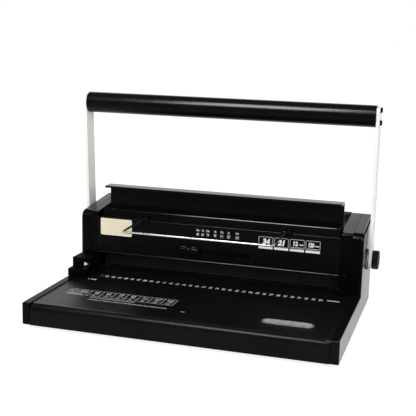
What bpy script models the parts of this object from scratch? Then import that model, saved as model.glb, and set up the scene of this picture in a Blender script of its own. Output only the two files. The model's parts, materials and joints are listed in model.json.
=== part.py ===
"""Manual wire binding machine: punches 34 holes at three to the inch and closes the wire loops.

Metres, +Z up, X along the punched edge, the operator at -Y. The origin is on the
ground below the middle of the machine.
"""

from math import atan2, cos, pi, radians, sin

import bmesh
import bpy
from mathutils import Matrix, Vector

# General fits and stock
gap = 0.0003  # left between pieces that touch
running = 0.0004  # left round pieces that turn or slide
sheet = 0.002  # steel sheet of the table and the covers
overrun = 0.002  # how far a cutter passes the piece it cuts
bend_steps = 5
fillet_steps = 3
least_radius = 0.00005  # an inset corner keeps at least this radius
round_steps = 32
small_steps = 16

# Base and side panels
body_width = 0.3608
table_depth = 0.158  # from the base's front edge to the tower's front
tower_depth = 0.089
foot_height = 0.004
rim_height = 0.026  # side panel's low part, above its own bottom edge
table_drop = 0.001  # table below the rim
table_groove = 0.0006
table_lip_radius = 0.008
side_thickness = 0.0094
tower_thickness = 0.0134
panel_wall = 0.0025
tower_front_height = 0.106
tower_back_height = 0.1155
tower_corner_radius = 0.010
tower_fillet = 0.003
rim_fillet = 0.001
tower_back_radius = 0.005
rim_corner_radius = 0.0015
notch_width = 0.0016
notch_height = 0.006

# Rubber feet
foot_radius = 0.009
foot_taper = 0.001
foot_inset_x = 0.032
foot_inset_y = 0.022

# End housings between the side panels and the covers
cover_left_reach = 0.1575  # from the middle to the covers' left end
cover_right_reach = 0.153
housing_setback = 0.0006  # behind the side panel's front
housing_corner_radius = 0.004

# Front cover with its ledge, which is the lower jaw of the closer
ledge_height = 0.1115
ledge_setback = 0.004
ledge_depth = 0.0155
ledge_left_reach = 0.150
ledge_right_reach = 0.1517
band_height = 0.0115
cover_lip_height = 0.0546
cover_return_depth = 0.012
cover_bend_radius = 0.0026
lip_hem_height = 0.0005
lip_hem_depth = 0.001

# Rear cover, sunk between the end housings
rear_top_drop = 0.007
rear_lip_depth = 0.0075
rear_lip_radius = 0.0022

# Low panel over the paper throat
throat_height = 0.0033
low_panel_setback = 0.0235
low_panel_flange = 0.019
low_panel_joggle = 0.0026  # the flange's rear part is lower, clear of the closer plate

# Punch: die, stripper and bar with its pins
hole_count = 34
hole_pitch = 0.0254 / 3
hole_side = 0.004
hole_row_setback = 0.0315  # behind the tower's front
hole_row_centre_x = -0.0034
die_thickness = 0.006
die_depth = 0.014
stripper_thickness = 0.0047
stripper_end = 0.006
pin_side = 0.0036
pin_engagement = 0.0015  # how far a pin stands inside the stripper at rest
punch_stroke = 0.012
bar_depth = 0.009
bar_height = 0.014
bar_overhang = 0.003
bar_stroke_clearance = 0.001
lug_width = 0.004
lug_wall = 0.0025

# Shaft, cranks and bushes
hub_setback = 0.044  # behind the tower's front
hub_height = 0.067
shaft_radius = 0.005
bush_wall = 0.0035
crank_rest_angle = radians(45)
handle_stroke = radians(80)
crank_hub_radius = 0.0085
crank_end_radius = 0.0036
crank_thickness = 0.005
crank_pin_radius = 0.002
crank_slot_play = 0.0006
punch_crank_x = 0.1245  # outer face of the punch bar's cranks

# Closer plate, the upper jaw
closer_stroke = 0.022
jaw_opening = 0.0263
closer_thickness = 0.0025
closer_flange_depth = 0.0205
closer_left_reach = 0.1483
closer_right_reach = 0.1526
closer_bend_radius = 0.0035
ear_thickness = 0.0025
ear_pin_cover = 0.0015  # how far an ear reaches behind the pin's centre
ear_wall = 0.0015

# Handle
handle_lean = 0.0105  # grip forward of the hub
grip_height = 0.2422
grip_radius = 0.013
grip_wall = 0.003
boss_length = 0.0020
boss_radius = 0.0130
arm_width = 0.0212
arm_thickness = 0.0036
arm_top_reach = 0.011
arm_top_radius = 0.004
knob_radius = 0.0115
knob_length = 0.0076
knob_chamfer = 0.001
knob_bore_depth = 0.006
screw_head_radius = 0.0033
screw_head_height = 0.0022
screw_head_edge = 0.0006
screw_shank_radius = 0.0018
screw_length = 0.011
screw_spacing = 0.015
screw_hole_radius = 0.0021

# Return spring round the shaft
spring_wire_radius = 0.0008
spring_coil_radius = 0.0072
spring_pitch = 0.0026
spring_turns = 7
spring_points_per_turn = 10
spring_inset = 0.006
spring_leg_height = 0.020

# Size selector
size_slot_height = 0.005
size_slot_length = 0.094
size_slot_centre_x = -0.003
size_slot_z = 0.0673
size_travel = 0.061
size_knob_length = 0.028
size_knob_start = 0.0023  # from the slot's left end to the knob's
size_knob_height = 0.0105
size_knob_depth = 0.005
size_knob_raise = 0.0025
size_knob_corner = 0.002
size_stem_length = 0.026
size_step_count = 7
size_step_rise = 0.0006
size_bar_height = 0.0025
size_bar_depth = 0.0025

# Wire bail in front of the cover, and its clips
bail_wire_radius = 0.0013
bail_width = 0.182
bail_centre_x = -0.0026
bail_reach = 0.070
bail_droop = 0.0005
bail_bend_radius = 0.005
bail_pivot_rise = 0.003  # above the foot of the cover's sloping band
bail_pivot_standoff = 0.0055
bail_trunnion = 0.0035
clip_width = 0.0124
clip_height = 0.0085
clip_slot = 0.0038
clip_back = 0.0016
clip_front = 0.0026

# Side guide on the left rim
guide_clearance = 0.0005  # before the tower's front
guide_high_length = 0.0255
guide_low_length = 0.014
guide_low_height = 0.0095
guide_high_height = 0.0208
guide_width = 0.0244
guide_blade_height = 0.006
guide_blade_length = 0.004
guide_blade_depth = 0.0235
guide_corner = 0.001

# Chip tray under the die
tray_end_inset = 0.005  # inside the covers' right end
tray_front = 0.014  # behind the tower's front
tray_height = 0.0158
tray_wall = 0.0015
tray_back_wall = 0.004
tray_scoop_length = 0.060
tray_scoop_height = 0.008
tray_scoop_depth = 0.0022
tray_lift = 0.0004

# Plates fixed on the outside
plate_thickness = 0.0008
label_left_inset = 0.0050
label_length = 0.0420
label_top = 0.0989
label_height = 0.0213
label_corner = 0.0012
badge_length = 0.058
badge_width = 0.0158
badge_centre_x = 0.1178
badge_setback = 0.039

# Screws at the front of the end housings
housing_screw_radius = 0.0028
housing_screw_height = 0.0014
housing_screw_length = 0.008
housing_screw_z = 0.0555

# Places that follow from the sizes above
half_width = body_width / 2
base_depth = table_depth + tower_depth
front = -base_depth / 2
back = base_depth / 2
base_bottom = foot_height
rim_top = base_bottom + rim_height
table_top = rim_top - table_drop
tower_front = front + table_depth
cover_left = -cover_left_reach
cover_right = cover_right_reach
housing_outer = half_width - tower_thickness - gap
hub_y = tower_front + hub_setback
grip_y = hub_y - handle_lean
hole_row_y = tower_front + hole_row_setback
low_panel_y = tower_front + low_panel_setback
low_panel_bottom = table_top + throat_height
die_front = hole_row_y - die_depth / 2
die_back = hole_row_y + die_depth / 2
stripper_bottom = low_panel_bottom - gap
stripper_front = low_panel_y + sheet + gap
stripper_top = stripper_bottom + stripper_thickness
pin_tip = stripper_bottom + pin_engagement
bar_bottom = stripper_top + punch_stroke + bar_stroke_clearance
bar_top = bar_bottom + bar_height
ledge_front = tower_front + ledge_setback
ledge_back = ledge_front + ledge_depth
band_bottom = ledge_height - band_height
bail_pivot_height = band_bottom + bail_pivot_rise
closer_back = ledge_back + gap + closer_thickness + gap
closer_top = ledge_height + jaw_opening + closer_thickness
crank_spread = sin(crank_rest_angle) + sin(handle_stroke - crank_rest_angle)
closer_crank_radius = closer_stroke / crank_spread
punch_crank_radius = punch_stroke / crank_spread
arm_inner_x = half_width + gap + boss_length + gap
arm_outer_x = arm_inner_x + arm_thickness
tray_half_length = cover_right_reach - tray_end_inset
tray_bottom = base_bottom + sheet + tray_lift
tray_top = tray_bottom + tray_height


def tower_height(y):
    """Height of the tower's sloping top at this place along Y."""
    share = (y - tower_front) / (back - tower_front)
    return tower_front_height + share * (tower_back_height - tower_front_height)


def crank_pin(radius):
    """Y and Z of a crank pin's centre while the handle is up."""
    return hub_y - radius * cos(crank_rest_angle), hub_height + radius * sin(crank_rest_angle)


def cover_end(side):
    return cover_right if side > 0 else cover_left


def closer_end(side):
    return closer_right_reach if side > 0 else -closer_left_reach


# Materials

finishes = {
    "black_paint": ((0.012, 0.012, 0.013), 0.28, 0.0),
    "satin_black": ((0.016, 0.016, 0.017), 0.42, 0.0),
    "cream_paint": ((0.78, 0.77, 0.72), 0.35, 0.0),
    "grip_foam": ((0.010, 0.010, 0.011), 0.55, 0.0),
    "black_plastic": ((0.014, 0.014, 0.015), 0.45, 0.0),
    "bright_steel": ((0.72, 0.72, 0.73), 0.18, 1.0),
    "tool_steel": ((0.42, 0.42, 0.43), 0.32, 1.0),
    "zinc": ((0.55, 0.55, 0.53), 0.38, 1.0),
    "label_cream": ((0.76, 0.69, 0.53), 0.45, 0.0),
    "badge_silver": ((0.62, 0.63, 0.65), 0.25, 1.0),
    "core_alloy": ((0.6, 0.6, 0.6), 0.35, 1.0),
    "rubber": ((0.02, 0.02, 0.02), 0.8, 0.0),
}


def finish(name):
    material = bpy.data.materials.get(name)
    if material:
        return material
    colour, roughness, metallic = finishes[name]
    material = bpy.data.materials.new(name)
    material.use_nodes = True
    shader = material.node_tree.nodes["Principled BSDF"]
    shader.inputs["Base Color"].default_value = (*colour, 1.0)
    shader.inputs["Roughness"].default_value = roughness
    shader.inputs["Metallic"].default_value = metallic
    return material


# Outlines in one plane

def rounded(corners, steps=bend_steps):
    """A closed outline from corners (a, b, radius), with an arc at each corner that has a radius."""
    points = []
    for i, (a, b, radius) in enumerate(corners):
        here = Vector((a, b))
        before = Vector(corners[i - 1][:2]) - here
        after = Vector(corners[(i + 1) % len(corners)][:2]) - here
        points += corner_arc(here, before, after, radius, steps)
    return points


def corner_arc(here, before, after, radius, steps):
    """The points of one corner between the directions to its two neighbours."""
    if not radius:
        return [tuple(here)]
    half = before.angle(after) / 2
    to_centre = (before.normalized() + after.normalized()).normalized()
    centre = here + to_centre * (radius / sin(half))
    start = here + before.normalized() * (radius * cos(half) / sin(half)) - centre
    end = here + after.normalized() * (radius * cos(half) / sin(half)) - centre
    turn = atan2(start.x * end.y - start.y * end.x, start.dot(end))
    arc = []
    for step in range(steps + 1):
        arc.append(tuple(centre + Matrix.Rotation(turn * step / steps, 2) @ start))
    return arc


def shifted(first, second, distance):
    """The line through two points, moved to its right by a distance."""
    along = (second - first).normalized()
    right = Vector((along.y, -along.x)) * distance
    return first + right, second + right


def meeting(line_a, line_b):
    """Where two lines in a plane meet."""
    p, q = line_a[0], line_b[0]
    r, s = line_a[1] - line_a[0], line_b[1] - line_b[0]
    cross = r.x * s.y - r.y * s.x
    return p + r * (((q - p).x * s.y - (q - p).y * s.x) / cross)


def bent_sheet(path, thickness, steps=bend_steps):
    """A closed outline of bent sheet: path is its outer face, and the metal lies to the path's right."""
    points = [Vector(corner[:2]) for corner in path]
    lines = [shifted(a, b, thickness) for a, b in zip(points, points[1:])]
    outer = [tuple(points[0])]
    inner = [tuple(lines[0][0])]
    for i in range(1, len(path) - 1):
        before, after, radius = points[i - 1] - points[i], points[i + 1] - points[i], path[i][2]
        turns_right = before.x * after.y - before.y * after.x > 0
        inner_radius = max(radius - thickness, 0) if turns_right else radius + thickness
        outer_radius = radius if turns_right else max(radius, 0)
        corner = meeting(lines[i - 1], lines[i])
        outer += corner_arc(points[i], before, after, outer_radius, steps)
        inner += corner_arc(corner, before, after, inner_radius, steps)
    outer.append(tuple(points[-1]))
    inner.append(tuple(lines[-1][1]))
    return outer + inner[::-1]


def inset(corners, walls):
    """Corners (a, b, radius) of a counter-clockwise outline with each side moved inwards by its wall."""
    points = [Vector(corner[:2]) for corner in corners]
    count = len(points)
    lines = [shifted(points[i], points[(i + 1) % count], -walls[i]) for i in range(count)]
    moved = []
    for i in range(count):
        corner = meeting(lines[i - 1], lines[i])
        into, out = points[i] - points[i - 1], points[(i + 1) % count] - points[i]
        convex = into.x * out.y - into.y * out.x > 0
        radius, wall = corners[i][2], max(walls[i - 1], walls[i])
        radius = radius and (max(radius - wall, least_radius) if convex else radius + wall)
        moved.append((corner.x, corner.y, radius))
    return moved


def disc(centre, radius, steps=round_steps):
    turns = [2 * pi * step / steps for step in range(steps)]
    return [(centre[0] + radius * cos(turn), centre[1] + radius * sin(turn)) for turn in turns]


def link(start, end, start_radius, end_radius, steps=small_steps):
    """Outline of a lever with a round end at each of two centres."""
    a, b = Vector(start), Vector(end)
    along = atan2(b.y - a.y, b.x - a.x)
    lean = atan2(start_radius - end_radius, (b - a).length)
    points = []
    for centre, radius, first, last in (
        (a, start_radius, along + pi / 2 - lean, along + 3 * pi / 2 + lean),
        (b, end_radius, along - pi / 2 + lean, along + pi / 2 - lean),
    ):
        for step in range(steps + 1):
            turn = first + (last - first) * step / steps
            points.append((centre.x + radius * cos(turn), centre.y + radius * sin(turn)))
    return points


# Solids

def add_object(name, bm, material, smooth=True):
    bmesh.ops.recalc_face_normals(bm, faces=bm.faces)
    mesh = bpy.data.meshes.new(name)
    bm.to_mesh(mesh)
    bm.free()
    if smooth:
        mesh.shade_smooth()
        mesh.set_sharp_from_angle(angle=radians(30))
    obj = bpy.data.objects.new(name, mesh)
    bpy.context.scene.collection.objects.link(obj)
    if material:
        mesh.materials.append(finish(material))
    return obj


def prism(name, axis, outline, low, high, material=None):
    """A solid of one outline, extruded along X, Y or Z. The outline has the other two axes in order."""
    spots = {"X": lambda a, b, c: (c, a, b), "Y": lambda a, b, c: (a, c, b), "Z": lambda a, b, c: (a, b, c)}
    bm = bmesh.new()
    face = bm.faces.new([bm.verts.new(spots[axis](a, b, low)) for a, b in outline])
    sides = bmesh.ops.extrude_face_region(bm, geom=[face])
    moved = [item for item in sides["geom"] if isinstance(item, bmesh.types.BMVert)]
    bmesh.ops.translate(bm, verts=moved, vec=spots[axis](0, 0, high - low))
    return add_object(name, bm, material)


def block(name, low, high, material=None):
    outline = [(low[0], low[1]), (high[0], low[1]), (high[0], high[1]), (low[0], high[1])]
    return prism(name, "Z", outline, low[2], high[2], material)


def fillet_inset(radius, depth):
    """How far a rounded edge has fallen back at this depth below the outer face."""
    return radius - (radius**2 - max(radius - depth, 0) ** 2) ** 0.5


def filleted(name, corners, fillets, inner, outer, material=None):
    """A solid along X with rounded edges round its outer face, one radius for each side of the outline."""
    side = 1 if outer > inner else -1
    largest = max(fillets)
    bm = bmesh.new()
    rings = [(inner, largest)]
    for step in range(fillet_steps + 1):
        depth = largest * (1 - sin(pi / 2 * step / fillet_steps))
        rings.append((outer - side * depth, depth))
    loops = []
    for x, depth in rings:
        outline = rounded(inset(corners, [fillet_inset(radius, depth) for radius in fillets]))
        loops.append([bm.verts.new((x, a, b)) for a, b in outline])
    for near, far in zip(loops, loops[1:]):
        for i in range(len(near)):
            bm.faces.new((near[i - 1], near[i], far[i], far[i - 1]))
    bm.faces.new(loops[0])
    bm.faces.new(loops[-1])
    return add_object(name, bm, material)


def turned(name, profile, centre, material=None, outward=1, steps=small_steps):
    """A solid turned about an axis along X. The profile has (x, radius) from axis to axis."""
    bm = bmesh.new()
    points = [bm.verts.new((outward * x, centre[0] + radius, centre[1])) for x, radius in profile]
    edges = [bm.edges.new(pair) for pair in zip(points, points[1:])]
    bmesh.ops.spin(
        bm, geom=points + edges, cent=(0, *centre), axis=(1, 0, 0), angle=2 * pi, steps=steps, use_merge=True
    )
    bmesh.ops.remove_doubles(bm, verts=bm.verts, dist=gap / 10)
    return add_object(name, bm, material)


def rod(name, centre, radius, low, high, material=None, steps=small_steps):
    return prism(name, "X", disc(centre, radius, steps), low, high, material)


def tube(name, points, radius, material, resolution=2):
    """A round wire through the points."""
    curve = bpy.data.curves.new(name, "CURVE")
    curve.dimensions = "3D"
    curve.bevel_depth = radius
    curve.bevel_resolution = resolution
    curve.use_fill_caps = True
    spline = curve.splines.new("POLY")
    spline.points.add(len(points) - 1)
    for spot, point in zip(spline.points, points):
        spot.co = (*point, 1)
    curve.materials.append(finish(material))
    obj = bpy.data.objects.new(name, curve)
    bpy.context.scene.collection.objects.link(obj)
    return obj


def hide(helper):
    helper.hide_render = True
    helper.display_type = "WIRE"
    return helper


def boolean(target, helper, operation):
    modifier = target.modifiers.new(operation.title(), "BOOLEAN")
    modifier.operation = operation
    modifier.solver = "EXACT"
    modifier.object = hide(helper)
    return target


def cut(target, *helpers):
    for helper in helpers:
        boolean(target, helper, "DIFFERENCE")
    return target


def add(target, *helpers):
    for helper in helpers:
        boolean(target, helper, "UNION")
    return target


def row_of_blocks(name, half_side, low, high):
    """One helper that holds a square bar at each hole of the row."""
    bm = bmesh.new()
    middle = (low + high) / 2
    for number in range(hole_count):
        x = hole_row_centre_x + (number - (hole_count - 1) / 2) * hole_pitch
        made = bmesh.ops.create_cube(bm, size=1)
        bmesh.ops.scale(bm, vec=(2 * half_side, 2 * half_side, high - low), verts=made["verts"])
        bmesh.ops.translate(bm, vec=(x, hole_row_y, middle), verts=made["verts"])
    return add_object(name, bm, None, smooth=False)


def pivot(name, place, *pieces):
    """An empty on a joint's axis, which carries the pieces that move with it."""
    empty = bpy.data.objects.new(name, None)
    empty.location = place
    bpy.context.scene.collection.objects.link(empty)
    shift = Matrix.Translation(-Vector(place))
    for piece in pieces:
        move_helpers(piece, empty, shift)
        piece.data.transform(shift)
        piece.parent = empty


def move_helpers(piece, empty, shift):
    """The helpers of a piece's Booleans go with it."""
    for modifier in piece.modifiers:
        modifier.object.data.transform(shift)
        modifier.object.parent = empty


# Fixed pieces

def side_outline():
    """Corners of the side panel: a low part along the base and the tower at the back."""
    return [
        (front, base_bottom, rim_corner_radius),
        (back, base_bottom, rim_corner_radius),
        (back, tower_height(back), tower_back_radius),
        (tower_front, tower_height(tower_front), tower_corner_radius),
        (tower_front, rim_top, 0),
        (front, rim_top, rim_corner_radius),
    ]


def side_fillets():
    """Radius of the outer edge along each side of that outline."""
    return [rim_fillet, tower_fillet, tower_fillet, tower_fillet, rim_fillet, rim_fillet]


def side_panel(name, side):
    """A hollow moulding, open on its inner face, with a boss for the shaft's bush."""
    outer, inner = side * half_width, side * (half_width - side_thickness)
    tower_inner = side * (half_width - tower_thickness)
    mouth = side * (half_width - tower_thickness - overrun)
    floor = side * (half_width - panel_wall)
    panel = filleted(name, side_outline(), side_fillets(), tower_inner, outer, "black_paint")
    thin_end = tower_front + notch_width / 2
    thin_ends = sorted((mouth, inner))
    thin_low = (thin_ends[0], front - overrun, base_bottom - overrun)
    cut(panel, block(name + "_thin", thin_low, (thin_ends[1], thin_end, rim_top + notch_height / 2)))
    walls = [panel_wall] * len(side_outline())
    cut(panel, prism(name + "_pocket", "X", rounded(inset(side_outline(), walls)), mouth, floor))
    boss_radius_here = shaft_radius + running + bush_wall + gap + panel_wall
    add(panel, rod(name + "_boss", (hub_y, hub_height), boss_radius_here, tower_inner, floor + side * gap))
    bore_radius = shaft_radius + running + bush_wall + gap
    bore = rod(name + "_bore", (hub_y, hub_height), bore_radius, mouth, outer + side * overrun)
    notch_ends = sorted((mouth, outer + side * overrun))
    notch_low = (notch_ends[0], tower_front - overrun, rim_top)
    notch_high = (notch_ends[1], tower_front + notch_width, rim_top + notch_height)
    return cut(panel, bore, block(name + "_notch", notch_low, notch_high))


def base_pan():
    """The floor of the base. Its side walls carry the table and the die."""
    half = half_width - tower_thickness - gap
    wall_top = table_top - sheet - gap
    path = [(half, wall_top, 0), (half, base_bottom, sheet), (-half, base_bottom, sheet), (-half, wall_top, 0)]
    near, far = front + sheet + gap, back - sheet - gap
    pan = prism("base_pan", "Y", bent_sheet(path, sheet), near, far, "satin_black")
    wide = half_width - side_thickness - gap
    add(pan, block("pan_wings", (-wide, near, base_bottom), (wide, tower_front - gap, base_bottom + sheet)))
    seat_low = (-half - overrun, die_front - gap, table_top - die_thickness - gap)
    cut(pan, block("die_seat", seat_low, (half + overrun, die_back + gap, wall_top + overrun)))
    bend_low = (-half - overrun, near - overrun, base_bottom + sheet + sheet)
    return cut(pan, block("bend_relief", bend_low, (half + overrun, front + table_lip_radius, wall_top + overrun)))


def table_plate():
    """The paper table: sheet that bends down over the front of the base."""
    path = [(front, base_bottom, 0), (front, table_top, table_lip_radius), (die_front - gap, table_top, 0)]
    half = half_width - side_thickness - table_groove
    plate = prism("table_plate", "X", bent_sheet(path, sheet), -half, half, "black_paint")
    narrow = half_width - tower_thickness - gap
    for side in (-1, 1):
        low = (min(side * narrow, side * half_width), tower_front - gap, table_top - sheet - overrun)
        high = (max(side * narrow, side * half_width), die_front + overrun, table_top + overrun)
        cut(plate, block(f"table_corner_{side}", low, high))
    return plate


def die_plate():
    """The lower die, level with the table, with a square hole for each pin."""
    half = half_width - tower_thickness - gap
    low = (-half, die_front, table_top - die_thickness)
    die = block("die_plate", low, (half, die_back, table_top), "tool_steel")
    holes = row_of_blocks("die_holes", hole_side / 2, table_top - die_thickness - overrun, table_top + overrun)
    return cut(die, holes)


def punch_stripper():
    """Guides the pins above the throat; its ends stand on the die and its back stops the paper."""
    low = (cover_left, stripper_front, stripper_bottom)
    stripper = block("punch_stripper", low, (cover_right, die_back, stripper_top), "tool_steel")
    seat = table_top + gap
    stop_front = hole_row_y + hole_side / 2 + lug_wall
    add(stripper, block("paper_stop", (cover_left, stop_front, seat), (cover_right, die_back, stripper_bottom + gap)))
    for side in (-1, 1):
        ends = sorted((cover_end(side), cover_end(side) - side * stripper_end))
        foot = block(f"stripper_foot_{side}", (ends[0], stripper_front, seat), (ends[1], die_back, stripper_bottom + gap))
        add(stripper, foot)
    holes = row_of_blocks("stripper_holes", hole_side / 2, stripper_bottom - overrun, stripper_top + overrun)
    return cut(stripper, holes)


def end_housing(name, side):
    """Bent sheet over the crank at one end: front, sloping top and back."""
    face = tower_front + housing_setback
    path = [
        (face, table_top + gap, 0),
        (face, tower_height(face), housing_corner_radius),
        (back, tower_height(back), tower_back_radius),
        (back, base_bottom + sheet + gap, 0),
    ]
    ends = sorted((cover_end(side) + side * gap, side * housing_outer))
    housing = prism(name, "X", bent_sheet(path, sheet), ends[0], ends[1], "satin_black")
    return cut(housing, housing_screw_hole(name + "_screw_hole", side))


def front_cover():
    """Front cover with the ledge on top, the slot of the size selector and a hem along its lip."""
    path = [
        (tower_front + cover_return_depth, cover_lip_height, 0),
        (tower_front, cover_lip_height, cover_bend_radius),
        (tower_front, band_bottom, cover_bend_radius),
        (ledge_front, ledge_height, cover_bend_radius),
        (ledge_back, ledge_height, 0),
    ]
    cover = prism("front_cover", "X", bent_sheet(path, sheet), cover_left, cover_right, "black_paint")
    hem_front = tower_front - lip_hem_depth
    hem = [
        (hem_front, cover_lip_height, 0),
        (tower_front + sheet / 2 + cover_bend_radius / 2, cover_lip_height, 0),
        (tower_front + sheet / 2, cover_lip_height + lip_hem_height, 0),
        (tower_front, cover_lip_height + lip_hem_height + lip_hem_depth, 0),
        (hem_front, cover_lip_height + lip_hem_height, 0),
    ]
    add(cover, prism("cover_hem", "X", rounded(hem), cover_left, cover_right))
    for end, reach in ((cover_left, -ledge_left_reach), (cover_right, ledge_right_reach)):
        ends = sorted((reach, end + (overrun if end > 0 else -overrun)))
        low = (ends[0], tower_front - overrun, band_bottom)
        cut(cover, block(f"ledge_end_{end > 0}", low, (ends[1], ledge_back + overrun, ledge_height + overrun)))
    half_slot = size_slot_length / 2
    low = (size_slot_centre_x - half_slot, hem_front - overrun, size_slot_z - size_slot_height / 2)
    high = (size_slot_centre_x + half_slot, tower_front + sheet + overrun, size_slot_z + size_slot_height / 2)
    return cut(cover, block("size_slot", low, high))


def low_front_panel():
    """The panel over the throat, flanged forward under the cover's lip in a joggle."""
    flange_height = cover_lip_height - gap
    rear_height = flange_height - low_panel_joggle
    flange_front = low_panel_y - low_panel_flange
    joggle_y = closer_back - closer_thickness - sheet
    outline = [
        (low_panel_y, low_panel_bottom),
        (low_panel_y, rear_height - sheet),
        (joggle_y - sheet, rear_height - sheet),
        (joggle_y - sheet, flange_height - sheet),
        (flange_front, flange_height - sheet),
        (flange_front, flange_height),
        (joggle_y, flange_height),
        (joggle_y, rear_height),
        (low_panel_y + sheet, rear_height),
        (low_panel_y + sheet, low_panel_bottom),
    ]
    return prism("low_front_panel", "X", outline, cover_left, cover_right, "satin_black")


def rear_cover():
    """Sunk top, raised lip and back, with a window at the bottom for the chip tray."""
    top_front = closer_back + gap + gap
    lip_front = back - rear_lip_depth
    path = [
        (top_front, tower_height(top_front) - rear_top_drop, 0),
        (lip_front, tower_height(lip_front) - rear_top_drop, 0),
        (lip_front, tower_height(lip_front), rear_lip_radius),
        (back, tower_height(back), rear_lip_radius),
        (back, base_bottom + sheet + gap, 0),
    ]
    cover = prism("rear_cover", "X", bent_sheet(path, sheet), cover_left, cover_right, "satin_black")
    half = tray_half_length + running
    low = (-half, back - sheet - overrun, base_bottom)
    return cut(cover, block("tray_window", low, (half, back + overrun, tray_top + running)))


def foot(name, x, y):
    top = base_bottom - gap
    bm = bmesh.new()
    bmesh.ops.create_cone(
        bm, cap_ends=True, segments=small_steps, radius1=foot_radius - foot_taper, radius2=foot_radius, depth=top
    )
    bmesh.ops.translate(bm, verts=bm.verts, vec=(x, y, top / 2))
    return add_object(name, bm, "rubber")


def shaft_bush(name, side):
    """Plain bearing of the shaft, pressed into the side panel's boss."""
    ends = sorted((side * (half_width - tower_thickness), side * half_width))
    bush = rod(name, (hub_y, hub_height), shaft_radius + running + bush_wall, ends[0], ends[1], "zinc")
    return cut(bush, shaft_bore(name, side, shaft_radius + running))


def shaft_bore(name, side, radius):
    """A bore for the shaft through anything at one end of the machine."""
    reach = arm_outer_x + overrun
    ends = sorted((side * (housing_outer - overrun), side * reach))
    return rod(name + "_bore", (hub_y, hub_height), radius, ends[0], ends[1])


def pivot_boss(name, side):
    """Spacer on the shaft between the side panel and the arm."""
    ends = sorted((side * (half_width + gap), side * (half_width + gap + boss_length)))
    boss = rod(name, (hub_y, hub_height), boss_radius, ends[0], ends[1], "zinc", round_steps)
    return cut(boss, shaft_bore(name, side, shaft_radius + running))


def bail_clip(name, x):
    """A block on the cover's band that holds one end of the bail."""
    pivot_y = tower_front - bail_pivot_standoff
    low, high = bail_pivot_height - clip_height / 2, bail_pivot_height + clip_height / 2
    slope = ledge_setback / band_height
    seat_low = tower_front - gap
    seat_high = tower_front + slope * max(high - band_bottom, 0) - gap
    face = pivot_y - clip_front
    outline = [(face, low), (seat_low, low), (seat_low, band_bottom), (seat_high, high), (face, high)]
    clip = prism(name, "X", outline, x - clip_width / 2, x + clip_width / 2, "black_plastic")
    slot_back = seat_low - clip_back
    slot_low = (x - clip_slot / 2, face - overrun, low - overrun)
    slot = block(name + "_slot", slot_low, (x + clip_slot / 2, slot_back, high + overrun))
    inner = -1 if x > bail_centre_x else 1
    ends = sorted((x, x + inner * (clip_slot / 2 + bail_trunnion + gap)))
    bore = rod(name + "_bore", (pivot_y, bail_pivot_height), bail_wire_radius + running, ends[0], ends[1])
    return cut(clip, slot, bore)


def label_plate():
    """Bare cream plate at the left end of the front cover."""
    left = cover_left + label_left_inset
    low = label_top - label_height
    corners = [
        (left, low, label_corner),
        (left + label_length, low, label_corner),
        (left + label_length, label_top, label_corner),
        (left, label_top, label_corner),
    ]
    face = tower_front - gap
    return prism("label_plate", "Y", rounded(corners), face - plate_thickness, face, "label_cream")


def badge_plate():
    """Bare oval plate on the table."""
    y = front + badge_setback
    half, end = badge_length / 2, badge_width / 2
    corners = [
        (badge_centre_x - half, y - end, end),
        (badge_centre_x + half, y - end, end),
        (badge_centre_x + half, y + end, end),
        (badge_centre_x - half, y + end, end),
    ]
    low = table_top + gap
    return prism("badge_plate", "Z", rounded(corners, small_steps // 2), low, low + plate_thickness, "badge_silver")


def housing_screw(name, side):
    """Screw through the front of an end housing."""
    face = tower_front + housing_setback - gap
    centre = housing_screw_centre(side)
    head = disc(centre, housing_screw_radius, small_steps)
    screw = prism(name, "Y", head, face - housing_screw_height, face, "black_plastic")
    shank = disc(centre, screw_shank_radius, small_steps)
    return add(screw, prism(name + "_shank", "Y", shank, face - gap, face + housing_screw_length))


def housing_screw_centre(side):
    """X and Z of the screw, in the middle of the housing's front."""
    return (cover_end(side) + side * housing_outer) / 2, housing_screw_z


def housing_screw_hole(name, side):
    face = tower_front + housing_setback
    hole = disc(housing_screw_centre(side), screw_hole_radius, small_steps)
    return prism(name, "Y", hole, face - overrun, face + sheet + overrun)


def return_spring():
    """Torsion spring round the shaft. It brings the handle back up."""
    start_x = spring_inset + crank_thickness - punch_crank_x
    steps = spring_turns * spring_points_per_turn
    coil = []
    for step in range(steps + 1):
        turn = 2 * pi * step / spring_points_per_turn
        x = start_x + spring_pitch * turn / (2 * pi)
        y = hub_y + spring_coil_radius * cos(turn)
        coil.append((x, y, hub_height + spring_coil_radius * sin(turn)))
    nearest = spring_pitch - 2 * spring_wire_radius
    print(f"return spring: least gap between turns {nearest * 1000:.2f} mm")
    leg_end_y = back - sheet - gap
    first_leg = (start_x, hub_y + spring_coil_radius, hub_height - spring_leg_height)
    rest = (coil[-1][0], leg_end_y, hub_height)
    return tube("return_spring", [first_leg, *coil, rest], spring_wire_radius, "tool_steel", 1)


# Pieces that turn with the handle

def main_shaft():
    end = arm_outer_x + gap + knob_bore_depth - gap
    return rod("main_shaft", (hub_y, hub_height), shaft_radius, -end, end, "bright_steel", small_steps)


def crank(name, side, radius, outer_x, pin_length):
    """Lever on the shaft whose pin drives the closer or the punch bar. The pin points inwards."""
    y, z = crank_pin(radius)
    outline = link((hub_y, hub_height), (y, z), crank_hub_radius, crank_end_radius)
    ends = sorted((side * outer_x, side * (outer_x - crank_thickness)))
    lever = prism(name, "X", outline, ends[0], ends[1], "tool_steel")
    pin_ends = sorted((side * (outer_x - crank_thickness / 2), side * (outer_x - crank_thickness - pin_length)))
    add(lever, rod(name + "_pin", (y, z), crank_pin_radius, pin_ends[0], pin_ends[1]))
    bore_ends = sorted((side * (outer_x + overrun), side * (outer_x - crank_thickness - overrun)))
    return cut(lever, rod(name + "_bore", (hub_y, hub_height), shaft_radius + gap, bore_ends[0], bore_ends[1]))


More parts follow.
